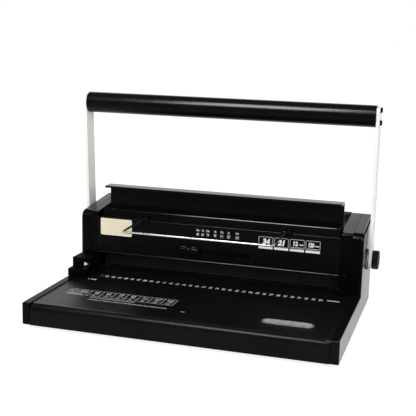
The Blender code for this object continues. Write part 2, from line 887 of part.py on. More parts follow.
def arm(name, side):
    """Flat bar from the hub to the end of the grip."""
    lean = Vector((grip_y - hub_y, grip_height - hub_height))
    along = lean.normalized()
    across = Vector((along.y, -along.x)) * (arm_width / 2)
    hub = Vector((hub_y, hub_height))
    low, high = hub - along * (arm_width / 2), hub + lean + along * arm_top_reach
    corners = [
        (*(low - across), arm_width / 2 - gap),
        (*(low + across), arm_width / 2 - gap),
        (*(high + across), arm_top_radius),
        (*(high - across), arm_top_radius),
    ]
    ends = sorted((side * arm_inner_x, side * arm_outer_x))
    bar = prism(name, "X", rounded(corners, small_steps // 2), ends[0], ends[1], "cream_paint")
    cut(bar, shaft_bore(name, side, shaft_radius + gap))
    for number, centre in enumerate(screw_centres()):
        through = sorted((side * (arm_inner_x - overrun), side * (arm_outer_x + overrun)))
        cut(bar, rod(f"{name}_screw_hole_{number}", centre, screw_hole_radius, through[0], through[1]))
    return bar


def screw_centres():
    """Y and Z of the two screws at each end of the grip, one above the other along the arm."""
    along = Vector((grip_y - hub_y, grip_height - hub_height)).normalized()
    middle = Vector((grip_y, grip_height))
    return [tuple(middle + along * (sign * screw_spacing / 2)) for sign in (1, -1)]


def grip_core():
    """Steel bar inside the grip, tapped at both ends for the arm's screws."""
    end = arm_inner_x - gap
    core_radius = grip_radius - grip_wall - gap
    core = rod("grip_core", (grip_y, grip_height), core_radius, -end, end, "core_alloy", round_steps)
    for side in (-1, 1):
        for number, centre in enumerate(screw_centres()):
            ends = sorted((side * (end + overrun), side * (arm_outer_x - screw_length - overrun)))
            cut(core, rod(f"core_hole_{side}_{number}", centre, screw_hole_radius, ends[0], ends[1]))
    return core


def grip_sleeve():
    """Foam sleeve over the core."""
    end = arm_inner_x - gap
    sleeve = rod("grip_sleeve", (grip_y, grip_height), grip_radius, -end, end, "grip_foam", round_steps)
    inner = rod("sleeve_bore", (grip_y, grip_height), grip_radius - grip_wall, -end - overrun, end + overrun)
    return cut(sleeve, inner)


def grip_screw(name, side, centre):
    head = arm_outer_x + gap
    top = head + screw_head_height
    profile = [
        (arm_outer_x - screw_length, 0),
        (arm_outer_x - screw_length, screw_shank_radius),
        (head, screw_shank_radius),
        (head, screw_head_radius),
        (top - screw_head_edge, screw_head_radius),
        (top, screw_head_radius - screw_head_edge),
        (top, 0),
    ]
    return turned(name, profile, centre, "black_plastic", side, small_steps // 2 + small_steps // 4)


def hub_knob(name, side):
    """Round nut that holds the arm on the shaft."""
    seat = arm_outer_x + gap
    end = seat + knob_length
    profile = [
        (seat + knob_bore_depth, 0),
        (seat + knob_bore_depth, shaft_radius + gap),
        (seat, shaft_radius + gap),
        (seat, knob_radius),
        (end - knob_chamfer, knob_radius),
        (end, knob_radius - knob_chamfer),
        (end, 0),
    ]
    return turned(name, profile, (hub_y, hub_height), "black_plastic", side, round_steps)


# Pieces that slide

def closer_ear(name, side):
    """Ear behind the plate, with a slot open at the back for the crank pin."""
    pin_y, pin_z = crank_pin(closer_crank_radius)
    half = crank_pin_radius + crank_slot_play
    ear_low, ear_high = pin_z - half - ear_wall, pin_z + half + ear_wall
    plate_back = closer_back - closer_thickness / 2
    ear_back = pin_y + ear_pin_cover
    ends = sorted((closer_end(side), closer_end(side) - side * ear_thickness))
    ear = block(name, (ends[0], plate_back, ear_low), (ends[1], ear_back, ear_high))
    slot_low = (ends[0] - overrun, closer_back + gap, pin_z - half)
    slot = block(name + "_slot", slot_low, (ends[1] + overrun, ear_back + overrun, pin_z + half))
    return cut(ear, slot)


def closer_plate():
    """Upper jaw: upright plate with a flange over the ledge."""
    pin_z = crank_pin(closer_crank_radius)[1]
    bottom = pin_z - crank_pin_radius - crank_slot_play - ear_wall
    path = [
        (closer_back - closer_flange_depth, closer_top, 0),
        (closer_back, closer_top, closer_bend_radius),
        (closer_back, bottom, 0),
    ]
    outline = bent_sheet(path, closer_thickness)
    plate = prism("closer_plate", "X", outline, closer_end(-1), closer_end(1), "satin_black")
    return add(plate, closer_ear("left_closer_ear", -1), closer_ear("right_closer_ear", 1))


def punch_bar():
    """Bar above the stripper with a pin for each hole and a lug over each crank."""
    half = hole_pitch * (hole_count - 1) / 2 + pin_side / 2 + bar_overhang
    low = (hole_row_centre_x - half, hole_row_y - bar_depth / 2, bar_bottom)
    high = (hole_row_centre_x + half, hole_row_y + bar_depth / 2, bar_top)
    bar = block("punch_bar", low, high, "tool_steel")
    add(bar, row_of_blocks("punch_pins", pin_side / 2, pin_tip, bar_bottom + gap))
    pin_z = crank_pin(punch_crank_radius)[1]
    slot_half = crank_pin_radius + crank_slot_play
    lug_back = hub_y - shaft_radius - running
    for side in (-1, 1):
        outer = side * (punch_crank_x - crank_thickness - running)
        ends = sorted((outer, outer - side * lug_width))
        lug_low = (ends[0], hole_row_y - bar_depth / 2, bar_top - gap)
        add(bar, block(f"lug_{side}", lug_low, (ends[1], lug_back, pin_z + slot_half + lug_wall)))
        slot_low = (ends[0] - overrun, hole_row_y, pin_z - slot_half)
        cut(bar, block(f"lug_slot_{side}", slot_low, (ends[1] + overrun, lug_back + overrun, pin_z + slot_half)))
    return bar


def size_knob_x():
    """Middle of the selector knob at rest, at the left end of its slot."""
    return size_slot_centre_x - size_slot_length / 2 + size_knob_start + size_knob_length / 2


def size_knob():
    """Knob in front of the cover, with its stem through the slot."""
    x, z = size_knob_x(), size_slot_z + size_knob_raise
    half, rise = size_knob_length / 2, size_knob_height / 2
    corners = [
        (x - half, z - rise, size_knob_corner),
        (x + half, z - rise, size_knob_corner),
        (x + half, z + rise, size_knob_corner),
        (x - half, z + rise, size_knob_corner),
    ]
    face = tower_front - running
    knob = prism("size_knob", "Y", rounded(corners), face - size_knob_depth, face, "black_plastic")
    stem_low = (x - size_stem_length / 2, face - overrun, size_slot_z - size_slot_height / 2 + running)
    stem_back = tower_front + sheet + running
    stem_high = (x + size_stem_length / 2, stem_back, size_slot_z + size_slot_height / 2 - running)
    return add(knob, block("size_stem", stem_low, stem_high))


def size_stop_bar():
    """Stepped bar behind the cover that the selector moves."""
    near = tower_front + sheet + running + gap
    far = near + size_bar_depth
    x = size_knob_x()
    low = size_slot_z - size_slot_height / 2
    step_length = size_travel / (size_step_count - 1)
    start = x - step_length
    outline = [(start + step_length * size_step_count, low), (start, low)]
    for number in range(size_step_count):
        height = low + size_bar_height + (size_step_count - number) * size_step_rise
        outline.append((start + step_length * number, height))
        outline.append((start + step_length * (number + 1), height))
    return prism("size_stop_bar", "Y", outline, near, far, "zinc")


def chip_tray():
    """Open tray under the die, drawn out at the back by a scoop."""
    near = tower_front + tray_front
    low = (-tray_half_length, near, tray_bottom)
    tray_back = back - gap
    tray = block("chip_tray", low, (tray_half_length, tray_back, tray_top), "black_plastic")
    inner_low = (-tray_half_length + tray_wall, near + tray_wall, tray_bottom + tray_wall)
    inner_high = (tray_half_length - tray_wall, tray_back - tray_back_wall, tray_top + overrun)
    scoop_z = (tray_bottom + tray_top) / 2
    scoop_low = (-tray_scoop_length / 2, tray_back - tray_scoop_depth, scoop_z - tray_scoop_height / 2)
    scoop_high = (tray_scoop_length / 2, tray_back + overrun, scoop_z + tray_scoop_height / 2)
    return cut(tray, block("tray_inside", inner_low, inner_high), block("tray_scoop", scoop_low, scoop_high))


def side_guide():
    """Stepped block on the left rim with a blade that stops the paper's edge."""
    seat = rim_top + gap
    end = tower_front - guide_clearance
    step, start = end - guide_high_length, end - guide_high_length - guide_low_length
    low_top, high_top = rim_top + guide_low_height, rim_top + guide_high_height
    corners = [
        (start, seat, 0),
        (end, seat, 0),
        (end, high_top, guide_corner),
        (step, high_top, guide_corner),
        (step, low_top, 0),
        (start, low_top, guide_corner),
    ]
    left = -half_width
    right = left + guide_width
    guide = prism("side_guide", "X", rounded(corners), left, right, "black_plastic")
    blade_low = (right - guide_blade_length, end - guide_blade_depth, table_top + gap)
    blade_high = (right + guide_blade_length, end, table_top + guide_blade_height)
    return add(guide, block("guide_blade", blade_low, blade_high))


def wire_bail():
    """Bent wire that holds the loops in front of the cover. Its ends turn in the clips."""
    pivot_y = tower_front - bail_pivot_standoff
    left, right = bail_centre_x - bail_width / 2, bail_centre_x + bail_width / 2
    run_y, run_z = pivot_y - bail_reach, bail_pivot_height - bail_droop
    tip = clip_slot / 2 + bail_trunnion
    bend = bail_bend_radius
    drop = bail_droop / bail_reach
    points = [(left + tip, pivot_y, bail_pivot_height), (left, pivot_y, bail_pivot_height)]
    for x, side in ((left, 1), (right, -1)):
        arc = []
        for step in range(bend_steps + 1):
            turn = pi / 2 * step / bend_steps
            y = run_y + bend * (1 - sin(turn))
            arc.append((x + side * bend * (1 - cos(turn)), y, run_z + drop * (y - run_y)))
        points += arc if side > 0 else arc[::-1]
    points += [(right, pivot_y, bail_pivot_height), (right - tip, pivot_y, bail_pivot_height)]
    return tube("wire_bail", points, bail_wire_radius, "bright_steel", 2)


# Assembly

def make_frame():
    side_panel("left_side_panel", -1)
    side_panel("right_side_panel", 1)
    base_pan()
    table_plate()
    die_plate()
    punch_stripper()
    end_housing("left_end_housing", -1)
    end_housing("right_end_housing", 1)
    front_cover()
    low_front_panel()
    rear_cover()
    label_plate()
    badge_plate()
    return_spring()
    for side, word in ((-1, "left"), (1, "right")):
        foot(f"{word}_front_foot", side * (half_width - foot_inset_x), front + foot_inset_y)
        foot(f"{word}_rear_foot", side * (half_width - foot_inset_x), back - foot_inset_y)
        shaft_bush(f"{word}_shaft_bush", side)
        pivot_boss(f"{word}_pivot_boss", side)
        bail_clip(f"{word}_bail_clip", bail_centre_x + side * bail_width / 2)
        housing_screw(f"{word}_housing_screw", side)


def make_handle():
    pieces = [main_shaft(), grip_core(), grip_sleeve()]
    closer_crank_x = housing_outer - running - running
    for side, word in ((-1, "left"), (1, "right")):
        pin_length = closer_crank_x - crank_thickness - abs(closer_end(side)) + ear_thickness
        pieces.append(crank(f"{word}_closer_crank", side, closer_crank_radius, closer_crank_x, pin_length))
        pin_reach = running + lug_width
        pieces.append(crank(f"{word}_punch_crank", side, punch_crank_radius, punch_crank_x, pin_reach))
        pieces.append(arm(f"{word}_arm", side))
        pieces.append(hub_knob(f"{word}_hub_knob", side))
        for place, centre in zip(("upper", "lower"), screw_centres()):
            pieces.append(grip_screw(f"{word}_{place}_grip_screw", side, centre))
    pivot("handle_axis", (0, hub_y, hub_height), *pieces)


def make_sliding_pieces():
    pivot("closer_axis", (0, closer_back, ledge_height), closer_plate())
    pivot("punch_axis", (0, hole_row_y, bar_bottom), punch_bar())
    pivot("size_axis", (size_knob_x(), tower_front, size_slot_z), size_knob(), size_stop_bar())
    pivot("guide_axis", (-half_width, tower_front - guide_clearance, rim_top), side_guide())
    pivot("tray_axis", (0, back, tray_bottom), chip_tray())
    bail_place = (bail_centre_x, tower_front - bail_pivot_standoff, bail_pivot_height)
    pivot("bail_axis", bail_place, wire_bail())


def main():
    for obj in list(bpy.data.objects):
        bpy.data.objects.remove(obj)
    make_frame()
    make_handle()
    make_sliding_pieces()


main()
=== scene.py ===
import json
from math import cos, pi, radians, sin

import bmesh
import bpy
from mathutils import Matrix, Vector

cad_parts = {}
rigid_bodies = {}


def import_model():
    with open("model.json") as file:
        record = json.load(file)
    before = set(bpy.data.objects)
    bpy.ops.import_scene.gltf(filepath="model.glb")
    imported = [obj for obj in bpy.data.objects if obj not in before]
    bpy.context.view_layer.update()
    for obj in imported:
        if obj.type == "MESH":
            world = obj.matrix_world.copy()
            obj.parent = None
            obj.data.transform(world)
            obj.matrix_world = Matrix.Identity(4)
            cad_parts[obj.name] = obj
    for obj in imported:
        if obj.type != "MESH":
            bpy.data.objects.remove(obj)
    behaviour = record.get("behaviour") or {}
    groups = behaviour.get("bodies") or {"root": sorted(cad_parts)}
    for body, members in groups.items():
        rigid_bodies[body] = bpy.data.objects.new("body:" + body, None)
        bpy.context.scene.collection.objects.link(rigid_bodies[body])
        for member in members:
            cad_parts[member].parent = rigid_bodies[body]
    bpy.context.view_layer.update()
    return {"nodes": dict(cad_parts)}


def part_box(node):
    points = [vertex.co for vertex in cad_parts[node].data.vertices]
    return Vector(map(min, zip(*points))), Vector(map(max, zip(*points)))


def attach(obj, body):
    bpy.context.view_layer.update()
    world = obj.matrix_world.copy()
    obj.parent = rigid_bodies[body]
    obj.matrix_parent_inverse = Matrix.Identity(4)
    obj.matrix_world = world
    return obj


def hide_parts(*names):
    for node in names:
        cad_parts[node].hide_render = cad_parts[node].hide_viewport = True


mm = 0.001

for leftover in list(bpy.data.objects):
    bpy.data.objects.remove(leftover, do_unlink=True)

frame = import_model()


class Wire:
    # one socket of a material, so that shader maths reads as a plain sum
    def __init__(self, tree, socket=None):
        self.tree = tree
        self.socket = socket

    def node(self, kind, settings=None, sockets=None, output=0):
        made = self.tree.nodes.new(kind)
        for key, value in (settings or {}).items():
            setattr(made, key, value)
        for key, value in (sockets or {}).items():
            if isinstance(value, Wire):
                self.tree.links.new(value.socket, made.inputs[key])
            else:
                made.inputs[key].default_value = value
        return Wire(self.tree, made.outputs[output])

    def maths(self, operation, first, second):
        return self.node("ShaderNodeMath", {"operation": operation}, {0: first, 1: second})

    def __add__(self, other):
        return self.maths("ADD", self, other)

    __radd__ = __add__

    def __sub__(self, other):
        return self.maths("SUBTRACT", self, other)

    def __rsub__(self, other):
        return self.maths("SUBTRACT", other, self)

    def __mul__(self, other):
        return self.maths("MULTIPLY", self, other)

    __rmul__ = __mul__

    def __abs__(self):
        return self.maths("ABSOLUTE", self, 0.0)

    def spread(self, fromLow, fromHigh, toLow=0.0, toHigh=1.0):
        # the value moved from one range to another, held at the ends
        return self.node("ShaderNodeMapRange", {"clamp": True}, {
            "Value": self, "From Min": fromLow, "From Max": fromHigh, "To Min": toLow, "To Max": toHigh,
        })

    def colours(self, first, second):
        # first where the value is 0, second where it is 1
        mixed = {0: self, 6: first, 7: second}
        return self.node("ShaderNodeMix", {"data_type": "RGBA"}, mixed, output=2)


def tone(red, green=None, blue=None):
    # a linear colour, or a grey where one number is given
    return (red, red if green is None else green, red if blue is None else blue, 1.0)


def startFinish(name):
    finish = bpy.data.materials.new(name)
    finish.use_nodes = True
    tree = finish.node_tree
    return finish, tree.nodes["Principled BSDF"], Wire(tree)


def paintOn(shader, values):
    for key, value in values.items():
        if isinstance(value, Wire):
            value.tree.links.new(value.socket, shader.inputs[key])
        else:
            shader.inputs[key].default_value = value


def fieldOf(wire, size, detail=3.0, stretch=(1.0, 1.0, 1.0), shift=0.0):
    # smooth noise with features of about size millimetres
    spot = wire.node("ShaderNodeTexCoord", output="Object")
    moved = wire.node("ShaderNodeMapping", {}, {
        "Vector": spot, "Location": (shift, shift, shift), "Scale": stretch,
    })
    return wire.node("ShaderNodeTexNoise", {}, {
        "Vector": moved, "Scale": 1.0 / (size * mm), "Detail": detail, "Roughness": 0.55,
    })


def axisOf(wire, coordinate, axis):
    # one axis of the Object, Normal or Generated coordinate
    spot = wire.node("ShaderNodeTexCoord", output=coordinate)
    return wire.node("ShaderNodeSeparateXYZ", {}, {"Vector": spot}, output=axis)


def markOf(wire, name):
    # a mark that refine() leaves on some faces of a softened piece
    return wire.node("ShaderNodeAttribute", {"attribute_name": name}, output="Fac")


def reliefFrom(wire, height, depth):
    return wire.node("ShaderNodeBump", {}, {"Strength": 1.0, "Distance": depth * mm, "Height": height})


def rubbedEdges(wire, size, amount):
    # worn patches, only on the softened edges
    return markOf(wire, "softEdge") * fieldOf(wire, size, 4.0).spread(0.52, 0.68, 0.0, amount)


upperSide = (0.12, 0.40)  # how far up a bend faces where its gloss starts, and where it is full


def polishedBends(wire, amount, side=upperSide):
    # full gloss on the upper side of the bends, where hands and paper slide
    facingUp = axisOf(wire, "Normal", "Z").spread(*side)
    cloud = fieldOf(wire, 18.0, 3.0, shift=6.6).spread(0.25, 0.75, amount * 0.75, amount)
    return markOf(wire, "polishedBend") * facingUp * cloud


def seamPaintedShade(wire):
    # painted shade in the seams: 1 on the ends that face a neighbour
    return abs(axisOf(wire, "Normal", "X")).spread(0.30, 0.60)


def towerPaintedShade(wire, tower):
    # painted shade: 1 on a tower's inner end in the seam and along its outer bend, standing in for its dark
    # reflection, and rimPaintedShade on top of the low rim
    outward = axisOf(wire, "Normal", "X") * axisOf(wire, "Object", "X") * (1000 / tower["at"])
    onBend = markOf(wire, "polishedBend") * outward.spread(*tower["from"])
    outerLine = onBend * outward.spread(*tower["to"], 1.0, 0.0)
    innerEnd = outward.spread(-0.50, -0.20, 1.0, 0.0)
    upward = axisOf(wire, "Normal", "Z").spread(0.5, 0.9)
    onTower = axisOf(wire, "Object", "Z").spread(tower["above"] * mm, (tower["above"] + 3) * mm)
    rimTop = (1 - onTower) * upward * tower["rimPaintedShade"]
    return onTower * (outerLine + innerEnd).spread(0.0, 1.0) + rimTop


def paintShadeOver(finish, shader, wire, amount):
    # painted shade: matt black in place of the gloss where amount is 1
    matt = wire.node("ShaderNodeBsdfDiffuse", {}, {"Color": tone(0.004)})
    gloss = Wire(finish.node_tree, shader.outputs["BSDF"])
    mixed = wire.node("ShaderNodeMixShader", {}, {0: amount, 1: gloss, 2: matt})
    finish.node_tree.links.new(mixed.socket, finish.node_tree.nodes["Material Output"].inputs["Surface"])


def blackEnamel(name, look):
    # stoved paint on sheet metal: orange peel, a faint haze and a little dust
    finish, shader, wire = startFinish(name)
    haze = fieldOf(wire, look["hazeSize"], 4.0)
    dust = fieldOf(wire, 0.9, 2.0, shift=3.1).spread(0.70, 0.78, 0.0, look["dust"])
    worn = rubbedEdges(wire, 3.0, look["wear"])
    body = haze.spread(0.3, 0.7).colours(look["dark"], look["light"])
    dusty = dust.colours(body, tone(0.10, 0.10, 0.095))
    peel = fieldOf(wire, look["peelSize"], 2.0, shift=7.7)
    grit = fieldOf(wire, 0.25, 1.0, shift=1.3)
    rough = haze.spread(0.25, 0.75, *look["roughness"]) + worn * 0.15 + dust * 0.2
    if "handledEnd" in look:
        # smoother towards the end where paper is pushed up to the guide
        near, far, drop = look["handledEnd"]
        rough = rough - axisOf(wire, "Object", "X").spread(far * mm, near * mm, drop, 0.0)
    paintOn(shader, {
        "Base Color": worn.colours(dusty, tone(0.06)),
        "Roughness": rough,
        "Specular IOR Level": look.get("level", 0.5),
        "Specular Tint": tone(look["shine"]),
        "Coat Weight": polishedBends(wire, look["polish"], look.get("upperSide", upperSide)),
        "Coat Roughness": look.get("bendRoughness", 0.10),
        "Coat IOR": look.get("bendIor", 1.5),
        "Normal": reliefFrom(wire, peel + grit * look["grit"], look["peelDepth"]),
    })
    # painted shade: the ends that face a neighbour go matt black, standing in for the shade in the seam
    if look.get("paintedEndShade"):
        paintShadeOver(finish, shader, wire, seamPaintedShade(wire))
    if "paintedShadeBeyond" in look:
        # painted shade on the ledge's tops past the closer's ends: matt black in place of their gloss
        middle, reach = look["paintedShadeBeyond"]
        past = abs(axisOf(wire, "Object", "X") - middle * mm).spread(reach * mm, (reach + 1) * mm)
        paintShadeOver(finish, shader, wire, past * axisOf(wire, "Normal", "Z").spread(0.30, 0.60))
    return finish


# shine dims the mirror seen face on, and leaves the one seen at a slant
tablePaint = blackEnamel("tableEnamel", {
    "dark": tone(0.0030), "light": tone(0.0050), "hazeSize": 60, "dust": 0.30, "wear": 0.5, "polish": 1.0,
    "peelSize": 2.2, "peelDepth": 0.008, "grit": 0.25, "roughness": (0.38, 0.46), "shine": 0.16,
    "level": 0.25, "upperSide": (0.54, 0.82), "bendRoughness": 0.24,
    "handledEnd": (-118.0, -136.0, 0.075),
})
# the ledge's tops past the closer's ends carry painted shade
coverPaint = blackEnamel("coverEnamel", {
    "dark": tone(0.0020), "light": tone(0.0032), "hazeSize": 45, "dust": 0.15, "wear": 0.5, "polish": 1.0,
    "peelSize": 2.0, "peelDepth": 0.010, "grit": 0.25, "roughness": (0.26, 0.34), "shine": 0.06,
    "bendIor": 1.65, "paintedShadeBeyond": (3.0, 142.5),
})
# painted light: a paler black that stands in for light in the shaded recess under the cover's lip; the base
# pan shares it
lowPanelPaintedLight = blackEnamel("lowPanelEnamel", {
    "dark": tone(0.012), "light": tone(0.017), "hazeSize": 40, "dust": 0.15, "wear": 0.5, "polish": 0.3,
    "peelSize": 2.0, "peelDepth": 0.010, "grit": 0.25, "roughness": (0.34, 0.42), "shine": 0.3,
})
# painted light: a paler black that stands in for light on the unlit back
rearPaintedLight = blackEnamel("rearEnamel", {
    "dark": tone(0.011), "light": tone(0.016), "hazeSize": 50, "dust": 0.25, "wear": 0.6, "polish": 0.3,
    "peelSize": 1.8, "peelDepth": 0.014, "grit": 0.40, "roughness": (0.36, 0.44), "shine": 0.4,
})
# the housing's ends carry painted shade where they meet their neighbours
housingPaint = blackEnamel("housingEnamel", {
    "dark": tone(0.0010), "light": tone(0.0020), "hazeSize": 30, "dust": 0.20, "wear": 0.4, "polish": 0.5,
    "peelSize": 1.6, "peelDepth": 0.012, "grit": 0.40, "roughness": (0.22, 0.30), "shine": 0.04,
    "paintedEndShade": True,
})
closerPaint = blackEnamel("closerEnamel", {
    "dark": tone(0.0024), "light": tone(0.0036), "hazeSize": 50, "dust": 0.15, "wear": 0.5, "polish": 0.6,
    "peelSize": 1.8, "peelDepth": 0.010, "grit": 0.30, "roughness": (0.18, 0.26), "shine": 0.05,
})


def mouldedPlastic(name, look):
    # spark-textured black plastic, a touch paler where hands rub it
    finish, shader, wire = startFinish(name)
    grain = fieldOf(wire, look["grainSize"], 3.0)
    cloud = fieldOf(wire, 25, 3.0, shift=2.2)
    worn = rubbedEdges(wire, 2.0, 0.4)
    body = cloud.spread(0.3, 0.7).colours(look["dark"], look["light"])
    if "tower" in look:
        # the right rim below the tower is given a lighter grey base
        tower = look["tower"]
        onRight = axisOf(wire, "Object", "X").spread(*tower["greyAcross"])
        onRim = 1 - axisOf(wire, "Object", "Z").spread(*tower["greyBelow"])
        body = (onRight * onRim).colours(body, tower["grey"])
    paintOn(shader, {
        "Base Color": worn.colours(body, tone(0.035)),
        "Roughness": cloud.spread(0.25, 0.75, *look["roughness"]),
        "Specular IOR Level": look.get("level", 0.5),
        "Specular Tint": tone(look["shine"]),
        "Coat Weight": polishedBends(wire, look["polish"]),
        "Coat Roughness": 0.20,
        "Normal": reliefFrom(wire, grain, look["grainDepth"]),
    })
    # painted shade on the tower's outer bend and inner end, and a painted dimming of the low rim's gloss
    if "tower" in look:
        paintShadeOver(finish, shader, wire, towerPaintedShade(wire, look["tower"]))
    return finish


panelPlastic = mouldedPlastic("panelPlastic", {
    "dark": tone(0.0010), "light": tone(0.0018), "grainSize": 0.5, "grainDepth": 0.008,
    "roughness": (0.20, 0.27), "shine": 0.03, "polish": 0.8,
    "tower": {
        "at": 178.5, "above": 36.0,  # where the tower stands, and the height that it starts from
        "from": (0.40, 0.52), "to": (0.88, 0.96),  # how far outwards the bend with painted shade faces
        # rimPaintedShade is the painted shade over the rim top's gloss; grey is the right rim's lighter
        # base
        "rimPaintedShade": 0.56, "grey": tone(0.0060), "greyAcross": (-0.1, 0.1), "greyBelow": (0.026, 0.036),
    },
})
knobPlastic = mouldedPlastic("knobPlastic", {
    "dark": tone(0.0016), "light": tone(0.0028), "grainSize": 0.35, "grainDepth": 0.012,
    "roughness": (0.40, 0.50), "shine": 0.08, "polish": 0.5,
})
guidePlastic = mouldedPlastic("guidePlastic", {
    "dark": tone(0.0012), "light": tone(0.0022), "grainSize": 0.4, "grainDepth": 0.010,
    "roughness": (0.56, 0.66), "shine": 0.10, "polish": 0.0, "level": 0.12,
})
nutPlastic = mouldedPlastic("nutPlastic", {
    "dark": tone(0.0070), "light": tone(0.0105), "grainSize": 0.35, "grainDepth": 0.012,
    "roughness": (0.42, 0.52), "shine": 0.10, "polish": 0.5,
})

gripLook = {
    "dark": tone(0.0016), "light": tone(0.0028), "pore": tone(0.001), "cellSize": 0.7,
    "dullBelow": 242.5, "glossAbove": 246.5,
}


def foamOfGrip():
    # closed-cell foam sleeve: fine cells, a few deeper pores, dull
    finish, shader, wire = startFinish("gripFoam")
    spot = wire.node("ShaderNodeTexCoord", output="Object")
    cellScale = 1.0 / (gripLook["cellSize"] * mm)
    cells = wire.node("ShaderNodeTexVoronoi", {}, {"Vector": spot, "Scale": cellScale})
    pores = fieldOf(wire, 1.3, 2.0, shift=4.4).spread(0.62, 0.72)
    cloud = fieldOf(wire, 30, 3.0)
    body = cloud.spread(0.3, 0.7).colours(gripLook["dark"], gripLook["light"])
    # the top is polished by hands, the underside stays dull
    height = axisOf(wire, "Object", "Z")
    handled = height.spread(gripLook["dullBelow"] * mm, gripLook["glossAbove"] * mm)
    paintOn(shader, {
        "Base Color": pores.colours(body, gripLook["pore"]),
        "Roughness": cloud.spread(0.2, 0.8, 0.30, 0.38),
        "Specular Tint": tone(0.08),
        "Coat Weight": handled * cloud.spread(0.2, 0.8, 0.85, 1.0),
        "Coat Roughness": 0.20,
        "Normal": reliefFrom(wire, cells * 0.6 - pores * 0.8, 0.02),
    })
    return finish


def creamEnamelOf(name, pale, deep):
    # light stoved paint on the arms
    finish, shader, wire = startFinish(name)
    cloud = fieldOf(wire, 40, 3.0)
    smudge = fieldOf(wire, 9, 4.0, shift=5.0).spread(0.60, 0.80, 0.0, 0.25)
    worn = rubbedEdges(wire, 2.5, 0.5)
    body = cloud.spread(0.3, 0.7).colours(pale, deep)
    soiled = smudge.colours(body, tone(0.60, 0.59, 0.53))
    paintOn(shader, {
        "Base Color": worn.colours(soiled, tone(0.42, 0.42, 0.41)),
        "Roughness": cloud.spread(0.25, 0.75, 0.32, 0.42) + smudge * 0.2,
        "Specular IOR Level": 0.45,
        "Normal": reliefFrom(wire, fieldOf(wire, 1.5, 2.0, shift=8.0), 0.012),
    })
    return finish


def metalOf(name, look):
    # bare or plated metal, drawn or ground along one axis
    finish, shader, wire = startFinish(name)
    lines = fieldOf(wire, look["lineSize"], 3.0, stretch=look["stretch"])
    cloud = fieldOf(wire, look.get("cloudSize", 12), 3.0, shift=6.0)
    paintOn(shader, {
        "Base Color": cloud.spread(0.3, 0.7).colours(look["dark"], look["light"]),
        "Metallic": look.get("bare", 1.0),
        "Roughness": lines.spread(0.3, 0.7, *look["roughness"]),
        "Normal": reliefFrom(wire, lines, look["lineDepth"]),
    })
    return finish


brightWire = metalOf("brightWire", {
    "dark": tone(0.62, 0.62, 0.63), "light": tone(0.76, 0.76, 0.76), "lineSize": 0.8,
    "stretch": (0.05, 1.0, 1.0), "lineDepth": 0.004, "roughness": (0.14, 0.26),
})
bailNickel = metalOf("bailNickel", {
    "dark": tone(0.74, 0.73, 0.72), "light": tone(0.86, 0.85, 0.84), "lineSize": 0.8,
    "stretch": (0.05, 1.0, 1.0), "lineDepth": 0.004, "roughness": (0.20, 0.28),
})
zincPlating = metalOf("zincPlating", {
    "dark": tone(0.40, 0.40, 0.41), "light": tone(0.55, 0.55, 0.55), "lineSize": 1.2,
    "stretch": (1.0, 1.0, 1.0), "lineDepth": 0.006, "roughness": (0.28, 0.42),
})
toolSteel = metalOf("groundSteel", {
    "dark": tone(0.22, 0.22, 0.23), "light": tone(0.34, 0.34, 0.35), "lineSize": 0.5,
    "stretch": (1.0, 0.08, 1.0), "lineDepth": 0.005, "roughness": (0.24, 0.38),
})
badgeMetal = metalOf("badgeMetal", {
    "dark": tone(0.34, 0.34, 0.37), "light": tone(0.62, 0.62, 0.67), "lineSize": 0.35, "cloudSize": 6,
    "stretch": (0.04, 1.0, 1.0), "lineDepth": 0.006, "roughness": (0.30, 0.44), "bare": 0.35,
})
coreSteel = metalOf("coreSteel", {
    "dark": tone(0.30, 0.30, 0.30), "light": tone(0.42, 0.42, 0.42), "lineSize": 0.8,
    "stretch": (0.1, 1.0, 1.0), "lineDepth": 0.008, "roughness": (0.35, 0.5),
})


def creamPlateOf(name, pale, deep):
    # slightly yellowed paint of the plate at the cover's left end
    finish, shader, wire = startFinish(name)
    cloud = fieldOf(wire, 14, 3.0)
    fleck = fieldOf(wire, 0.6, 2.0, shift=2.0).spread(0.66, 0.76, 0.0, 0.3)
    body = cloud.spread(0.3, 0.7).colours(pale, deep)
    paintOn(shader, {
        "Base Color": fleck.colours(body, tone(0.60, 0.54, 0.38)),
        "Roughness": cloud.spread(0.3, 0.7, 0.40, 0.52),
        "Specular IOR Level": 0.3,
        "Normal": reliefFrom(wire, fieldOf(wire, 0.8, 2.0, shift=9.0), 0.006),
    })
    return finish


def nylonOf():
    # turned nylon, slightly greasy where it runs on the shaft
    finish, shader, wire = startFinish("spacerNylon")
    cloud = fieldOf(wire, 3, 3.0)
    paintOn(shader, {
        "Base Color": cloud.spread(0.3, 0.7).colours(tone(0.84, 0.83, 0.73), tone(0.70, 0.69, 0.59)),
        "Roughness": cloud.spread(0.3, 0.7, 0.38, 0.50),
        "Specular IOR Level": 0.4,
        "Normal": reliefFrom(wire, fieldOf(wire, 0.4, 2.0, stretch=(6.0, 1.0, 1.0)), 0.006),
    })
    return finish


def inkOf(name, full, thin):
    # screen-printed ink, thinner in small patches
    finish, shader, wire = startFinish(name)
    patch = fieldOf(wire, 0.7, 3.0)
    paintOn(shader, {
        "Base Color": patch.spread(0.45, 0.75).colours(full, thin),
        "Roughness": patch.spread(0.3, 0.7, 0.50, 0.62),
        "Specular IOR Level": 0.2,
        "Normal": reliefFrom(wire, patch, 0.002),
    })
    return finish


def rubberOf():
    finish, shader, wire = startFinish("footRubber")
    cloud = fieldOf(wire, 4, 3.0)
    paintOn(shader, {
        "Base Color": cloud.spread(0.3, 0.7).colours(tone(0.010), tone(0.018)),
        "Roughness": cloud.spread(0.3, 0.7, 0.7, 0.85),
        "Specular IOR Level": 0.2,
        "Normal": reliefFrom(wire, fieldOf(wire, 0.4, 2.0), 0.02),
    })
    return finish


